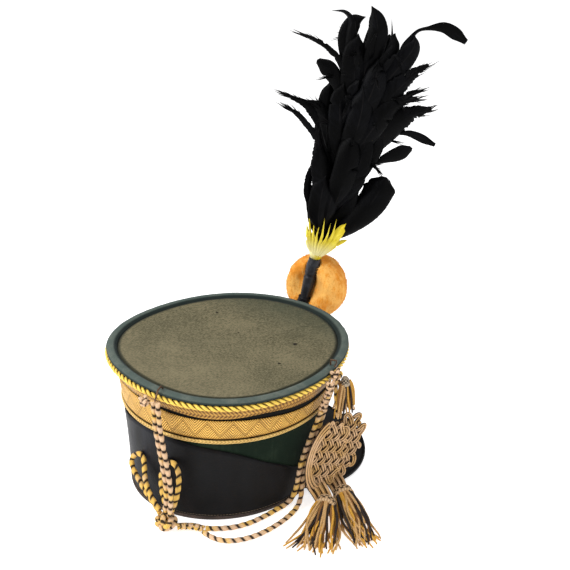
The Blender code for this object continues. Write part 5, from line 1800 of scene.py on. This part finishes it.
@dataclass(frozen=True)
class WovenMat:
    """An oval mat woven from doubled cords that loop round at its edge."""

    name: str
    node: str
    middle: tuple[float, float, float]
    length: float = 0.0710
    width: float = 0.0390
    cord: float = 0.0024
    border: int = 0
    swing: float = 25.0
    lean: float = 19.0
    steep: float = 58.0
    spacing: float = 0.0069
    wave: float = 0.0012
    inside: float = 0.83

    def axes(self) -> tuple[Vector, Vector, Vector]:
        """Return the mat's facing, width and length directions."""
        swing, lean = math.radians(self.swing), math.radians(self.lean)
        facing = Vector((-math.cos(swing), math.sin(swing), 0.0))
        length = Vector((0.0, -math.sin(lean), math.cos(lean)))
        length = (length - facing * length.dot(facing)).normalized()
        return facing, facing.cross(length), length

    def spot(self, x: float, y: float, depth: float) -> Vector:
        """Return a point of the mat."""
        facing, width, length = self.axes()
        return Vector(self.middle) + width * x + length * y + facing * depth

    def chord(self, way: Vector, foot: Vector) -> Optional[tuple[float, float]]:
        """Return where a line crosses the inner oval, as two distances along it."""
        a, b = self.width / 2 * self.inside, self.length / 2 * self.inside
        k2 = (way.x / a) ** 2 + (way.y / b) ** 2
        k1 = 2 * (foot.x * way.x / a ** 2 + foot.y * way.y / b ** 2)
        root = k1 * k1 - 4 * k2 * ((foot.x / a) ** 2 + (foot.y / b) ** 2 - 1)
        if root <= 0:
            return None
        return (-k1 - math.sqrt(root)) / (2 * k2), (-k1 + math.sqrt(root)) / (2 * k2)

    def double(self, skin: Skin, flat: Sequence[Vector]) -> None:
        """Lay a pair of cords side by side along a line; its third number is the depth."""
        line = [self.spot(p.x, p.y, p.z) for p in flat]
        facing = self.axes()[0]
        for hand in (-0.5, 0.5):
            moved = []
            for i, point in enumerate(line):
                way = line[min(i + 1, len(line) - 1)] - line[max(i - 1, 0)]
                moved.append(point + facing.cross(way).normalized() * (hand * self.cord * 0.98))
            sweep(skin, moved, facing, self.cord * 0.50, self.cord * 0.46, 10)

    def edge_cords(self, skin: Skin) -> None:
        """Lay parallel cords down the mat's near edge to its lower tip."""
        facing = self.axes()[0]
        for i in range(self.border):
            grow = 0.85 + 0.100 * i
            flat = []
            for k in range(25):
                turn = math.radians(28 + 160 * k / 24)
                pull = max(0.0, (k - 17) / 7)
                flat.append((self.width / 2 * grow * math.sin(turn) * (1 - 0.15 * pull),
                             self.length / 2 * (grow * math.cos(turn) - 0.06 * pull)))
            line = [self.spot(x, y, 0.0022 - 0.0004 * i) for x, y in flat]
            sweep(skin, smooth_line(line, 0.0012), facing, 0.00145, 0.00140, 10)

    def build(self, material: bpy.types.Material) -> bpy.types.Object:
        """Make the mat."""
        skin = Skin()
        angle = math.radians(self.steep)
        ways = (Vector((math.cos(angle), math.sin(angle), 0.0)),
                Vector((-math.cos(angle), math.sin(angle), 0.0)))
        squares = [Vector((-way.y, way.x, 0.0)) for way in ways]
        ends = []
        for family, (way, square) in enumerate(zip(ways, squares)):
            other, sign = squares[1 - family], (1, -1)[family]
            for index in range(-5, 6):
                foot = square * (index * self.spacing)
                span = self.chord(way, foot)
                if span is None or span[1] - span[0] < 0.004:
                    continue
                count = max(4, round((span[1] - span[0]) / 0.0011))
                line = []
                for i in range(count + 1):
                    spot = foot + way * (span[0] + (span[1] - span[0]) * i / count)
                    crossing = spot.dot(other) / self.spacing
                    swing = math.cos(math.pi * (crossing - index * sign))
                    spot.z = sign * self.wave * max(-1.0, min(1.0, 1.5 * swing))
                    line.append(spot)
                self.double(skin, line)
                ends.append((line[0], -way))
                ends.append((line[-1], way))
        ends.sort(key=lambda end: math.atan2(end[0].x / self.width, end[0].y / self.length))
        for (start, out), (stop, back) in zip(ends[0::2], ends[1::2]):
            pull = (stop - start).length * 0.55 + 0.0035
            one, two = start + out * pull, stop + back * pull
            loop = []
            for i in range(15):
                t = i / 14
                loop.append(start * (1 - t) ** 3 + one * 3 * t * (1 - t) ** 2
                            + two * 3 * t * t * (1 - t) + stop * t ** 3)
            self.double(skin, loop)
        self.edge_cords(skin)
        return put(self.name, skin.mesh(self.name), material, "pale_cord", self.node)


@dataclass(frozen=True)
class FloorTassel:
    """A tassel that lies on the table: a stitched collar and a splayed skirt of thread."""

    name: str
    node: str
    head: tuple[float, float]
    heading: float
    spread: float
    skirt: float
    radius: float
    neck: tuple[float, float, float]
    count: int = 46
    thread: float = 0.00140
    lift: float = 0.0004
    seed: int = 1

    def along(self) -> Vector:
        """Return the direction in which the skirt lies."""
        heading = math.radians(self.heading)
        return Vector((math.cos(heading), math.sin(heading), 0.0))

    def middle(self) -> Vector:
        """Return the collar's middle."""
        return Vector((*self.head, self.radius + self.lift))

    def lines(self) -> list[list[Vector]]:
        """Return the skirt's thread lines."""
        draw = random.Random(self.seed)
        along, head = self.along(), self.middle()
        across = Vector((0.0, 0.0, 1.0)).cross(along)
        result = []
        for i in range(self.count):
            u = 2 * (i + draw.random()) / self.count - 1
            layer = i % 4
            turn = math.radians(self.spread) * u * (1.0 - 0.08 * layer)
            way = along * math.cos(turn) + across * math.sin(turn)
            length = self.skirt * (1.0 - 0.04 * layer - 0.20 * draw.random())
            root = math.asin(max(-1.0, min(1.0, u)))
            start_side = self.radius * 0.74 * math.sin(root)
            start_up = self.radius * (-0.45, 0.15, 0.50, 0.72)[layer] * math.cos(root)
            low = self.thread + self.lift
            floor = self.thread * (1.0 + 1.6 * layer) + self.lift
            bow = draw.uniform(-0.0070, 0.0070)
            curl = draw.uniform(-0.0030, 0.0030)
            hump = draw.uniform(0.0, 0.0022) * (layer > 1)
            line = []
            for k in range(19):
                s = k / 18
                sway = bow * math.sin(math.pi * s) + curl * math.sin(2.6 * math.pi * s) * s
                spot = (head + way * (length * s) + across * start_side * (1 - s) ** 2
                        + across * sway)
                fall = max(0.0, 1.0 - s * 1.55)
                ease = fall * fall * (3 - 2 * fall)
                drop = floor - (floor - low) * max(0.0, (s - 0.7) / 0.3)
                drop += hump * math.sin(math.pi * s) ** 2
                spot.z = max(low, (head.z + start_up) * ease + drop * (1 - ease))
                line.append(spot)
            result.append(line)
        return result

    def collar(self, skin: Skin) -> None:
        """Turn the stitched collar."""
        rows = ((-0.62, 0.30), (-0.52, 0.62), (-0.40, 0.84), (-0.28, 0.92), (-0.18, 0.86),
                (-0.06, 0.90), (0.10, 0.92), (0.22, 0.88), (0.34, 0.96), (0.46, 0.88),
                (0.54, 0.60))
        lathe(skin, self.middle(), self.along(),
              [(a * self.radius, r * self.radius) for a, r in rows], 44)

    def gather(self, skin: Skin) -> None:
        """Draw the mat's cords together from its lower edge into the collar."""
        head = self.middle() - self.along() * (0.35 * self.radius)
        top = Vector(self.neck) + (Vector(self.neck) - head) * 0.25
        facing = Vector((-0.80, 0.45, 0.40)).normalized()
        side = facing.cross(head - top).normalized()
        sweep(skin, [top.lerp(head, k / 6) - facing * 0.001 for k in range(7)], facing, 0.0074,
              0.0030, 14)
        for i in range(8):
            share, hand = (i - 3.5) / 3.5, (1, -1)[i % 2]
            start = top + side * (share * 0.0090) + facing * (0.0012 * hand)
            stop = head + side * (share * (0.3 + 0.7 * hand) * self.radius * 0.70)
            middle = start.lerp(stop, 0.5) + facing * (0.0018 * hand + 0.0010)
            sweep(skin, smooth_line([start, middle, stop], 0.0010), facing, 0.00180, 0.00160)

    def build(self, strands: GeoTree, thread: bpy.types.Material, collar: bpy.types.Material,
              cords: bpy.types.Material) -> None:
        """Make the tassel."""
        mesh = strands.run(route_curve(self.name + "_routes", self.lines()), self.name,
                           Strands=1, Thread_Radius=self.thread, Bead_Pitch=0.0030,
                           Bead_Depth=0.10, Taper=0.45, Step=0.0009, Sides=7)
        put(self.name, mesh, thread, "tassel_thread", self.node)
        for part, shape, finish, slot in (("_collar", self.collar, collar, "tassel_thread"),
                                          ("_cords", self.gather, cords, "pale_cord")):
            skin = Skin()
            shape(skin)
            put(self.name + part, skin.mesh(self.name + part), finish, slot)


@dataclass(frozen=True)
class CollarFinish:
    """A tassel's collar: pale thread with a row of black checker stitches."""

    name: str
    pale: Colour = (0.640, 0.440, 0.250)
    black: Colour = (0.010, 0.008, 0.007)
    row_pitch: float = 0.0022
    around_count: float = 12.0

    def build(self) -> bpy.types.Material:
        """Return the material."""
        g = Graph(self.name)
        uv = g.uv()
        along, around = g.axis(uv, "X"), g.axis(uv, "Y")
        fuzz = g.noise(g.place(), 1100, 3, 0.7)
        ribs = g.wave(around, 1 / 22)
        first = (along / (self.row_pitch * 2)).math("FRACT").math("GREATER_THAN", 0.5)
        second = (around * self.around_count).math("FRACT").math("GREATER_THAN", 0.5)
        checker = abs(first - second)
        inside = 1.0 - abs(along).step(0.0022, 0.0026)
        colour = g.mix(ribs * 0.55 + (fuzz - 0.5) * 0.4, self.pale, (0.200, 0.100, 0.040))
        colour = g.mix(checker * inside * 0.95, colour, self.black)
        return g.finish(colour, 0.8, ribs * 0.6 + fuzz * 0.4, 0.0005, 0.9, gloss=0.2)


@dataclass(frozen=True)
class SmallTassel:
    """The small tassel that hangs from the side knot."""

    head: tuple[float, float, float] = (-0.1234, -0.0316, 0.1267)
    radius: float = 0.0050
    skirt: float = 0.0370
    count: int = 30
    thread: float = 0.00115

    def build(self, strands: GeoTree, thread: bpy.types.Material,
              collar: bpy.types.Material) -> None:
        """Make the tassel."""
        draw = random.Random(5)
        head = Vector(self.head)
        down = Vector((0.0, 0.0, -1.0))
        lines = []
        for i in range(self.count):
            turn = i * 2.39996
            out = Vector((0.50 * math.cos(turn), 1.05 * math.sin(turn), 0.0))
            reach = math.sqrt((i + 0.5) / self.count)
            length = self.skirt * (1.0 - 0.22 * draw.random())
            bow = Vector((0.0, draw.uniform(-0.0022, 0.0022), 0.0))
            lines.append([head + down * (length * s) + bow * math.sin(math.pi * 1.4 * s)
                          + out * self.radius * reach * (0.90 + 2.10 * s ** 0.8)
                          for s in [k / 12 for k in range(1, 13)]])
        mesh = strands.run(route_curve("small_tassel_routes", lines), "small_thread_tassel",
                           Strands=1, Thread_Radius=self.thread, Bead_Pitch=0.0026,
                           Bead_Depth=0.12, Taper=0.35, Step=0.0009, Sides=7)
        put("small_thread_tassel", mesh, thread, "tassel_thread", "small_tassel")
        skin = Skin()
        rows = [(-0.75, 0.25), (-0.65, 0.46), (-0.35, 0.66), (0.0, 0.78), (0.4, 0.82),
                (0.8, 0.90), (1.0, 0.84), (1.1, 0.5)]
        lathe(skin, head, down, [(a * self.radius, r * self.radius) for a, r in rows], 28)
        put("small_tassel_collar", skin.mesh("small_tassel_collar"), collar, "tassel_thread")


# The studio


@dataclass(frozen=True)
class Studio:
    """A pale floor, soft light and the camera."""

    eye: tuple[float, float, float] = (-0.67300, 0.73574, 0.66736)
    target: tuple[float, float, float] = (-0.0466, -0.0378, 0.199)
    view: float = 27.41

    def camera(self) -> None:
        """Place the camera."""
        data = bpy.data.cameras.new("camera")
        data.angle = math.radians(self.view)
        data.dof.use_dof = False
        obj = bpy.data.objects.new("camera", data)
        obj.location = self.eye
        way = Vector(self.target) - Vector(self.eye)
        obj.rotation_euler = way.to_track_quat("-Z", "Y").to_euler()
        bpy.context.scene.collection.objects.link(obj)
        bpy.context.scene.camera = obj

    def light(self, name: str, place: Sequence[float], size: float, power: float) -> None:
        """Place a soft square light that looks at the hat."""
        data = bpy.data.lights.new(name, "AREA")
        data.shape = "SQUARE"
        data.size = size
        data.energy = power
        obj = bpy.data.objects.new(name, data)
        obj.location = place
        way = Vector((0.0, 0.0, 0.12)) - Vector(place)
        obj.rotation_euler = way.to_track_quat("-Z", "Y").to_euler()
        bpy.context.scene.collection.objects.link(obj)

    def floor(self) -> None:
        """Lay the pale floor."""
        mesh = bpy.data.meshes.new("floor")
        half = 6.0
        mesh.from_pydata([(-half, -half, -0.0003), (half, -half, -0.0003), (half, half, -0.0003),
                          (-half, half, -0.0003)], [], [(0, 1, 2, 3)])
        obj = bpy.data.objects.new("floor", mesh)
        bpy.context.scene.collection.objects.link(obj)
        g = Graph("floor")
        g.shader.inputs["Emission Color"].default_value = (1.0, 1.0, 1.0, 1.0)
        g.shader.inputs["Emission Strength"].default_value = 0.70
        mesh.materials.append(g.finish((0.88, 0.88, 0.88), 0.9))

    def build(self) -> None:
        """Set the whole studio up."""
        self.camera()
        self.floor()
        self.light("window", (0.55, 0.95, 1.15), 0.9, 20.0)
        self.light("fill", (-1.40, 0.10, 0.90), 1.4, 6.0)
        self.light("top", (0.0, -0.2, 1.6), 1.2, 10.0)
        world = bpy.data.worlds.new("studio_air")
        world.use_nodes = True
        tree = world.node_tree
        air = tree.nodes["Background"]
        air.inputs["Color"].default_value = (1.0, 1.0, 1.0, 1.0)
        place, split = (tree.nodes.new("ShaderNode" + kind) for kind in ("TexCoord", "SeparateXYZ"))
        fade = tree.nodes.new("ShaderNodeMapRange")
        for key, value in (("From Min", 0.10), ("From Max", 0.35), ("To Min", 1.0), ("To Max", 0.33)):
            fade.inputs[key].default_value = value
        tree.links.new(place.outputs["Generated"], split.inputs[0])
        tree.links.new(split.outputs["Z"], fade.inputs["Value"])
        tree.links.new(fade.outputs[0], air.inputs["Strength"])
        bpy.context.scene.world = world
        bpy.context.scene.view_settings.view_transform = "Standard"


def dress_hooks() -> None:
    """Give the two wire hooks their metal."""
    metal = PlainFinish("dull_metal", (0.075, 0.042, 0.026), (0.200, 0.120, 0.075), 0.42, 900.0,
                        0.8).build()
    for node in ("side_hook", "back_hook"):
        obj = bpy.data.objects[node]
        for slot in obj.material_slots:
            slot.material = metal


def main() -> None:
    """Build the studio and every piece of the hat."""
    logging.basicConfig(level=logging.INFO, format="%(message)s")
    Studio().build()
    strands, faced, hairs = strand_tree(), strand_tree(faced=True), tuft_tree()
    CordWork(strands, faced).build()
    mat_cord = MatCord().build()
    WovenMat("front_woven_mat", "mat_front", (-0.1199, -0.0103, 0.0542), 0.0745,
             border=3).build(mat_cord)
    WovenMat("back_woven_mat", "mat_back", (-0.1205, -0.0356, 0.0530)).build(mat_cord)
    thread = TasselThread().build()
    collar = CollarFinish("stitched_collar").build()
    FloorTassel("front_thread_tassel", "tassel_front", (-0.1315, 0.0060), 115.0, 27.0, 0.0660,
                0.0110, (-0.11543, -0.00132, 0.02211), 46, seed=3).build(strands, thread, collar,
                                                                    mat_cord)
    FloorTassel("back_thread_tassel", "tassel_back", (-0.1340, -0.0185), 145.0, 13.0, 0.0740,
                0.0105, (-0.11603, -0.02602, 0.01911), 46, seed=8).build(strands, thread, collar,
                                                                    mat_cord)
    grey = CollarFinish("small_collar", (0.460, 0.390, 0.290), row_pitch=0.0016, around_count=7.0)
    SmallTassel().build(strands, thread, grey.build())
    form = CrownForm()
    Crown(form).build()
    GoldWork(form, strands).build()
    LeatherWork(form, strands).build()
    Plume(PlumeLine(form), hairs).build()
    dress_hooks()


if __name__ == "__main__":
    main()
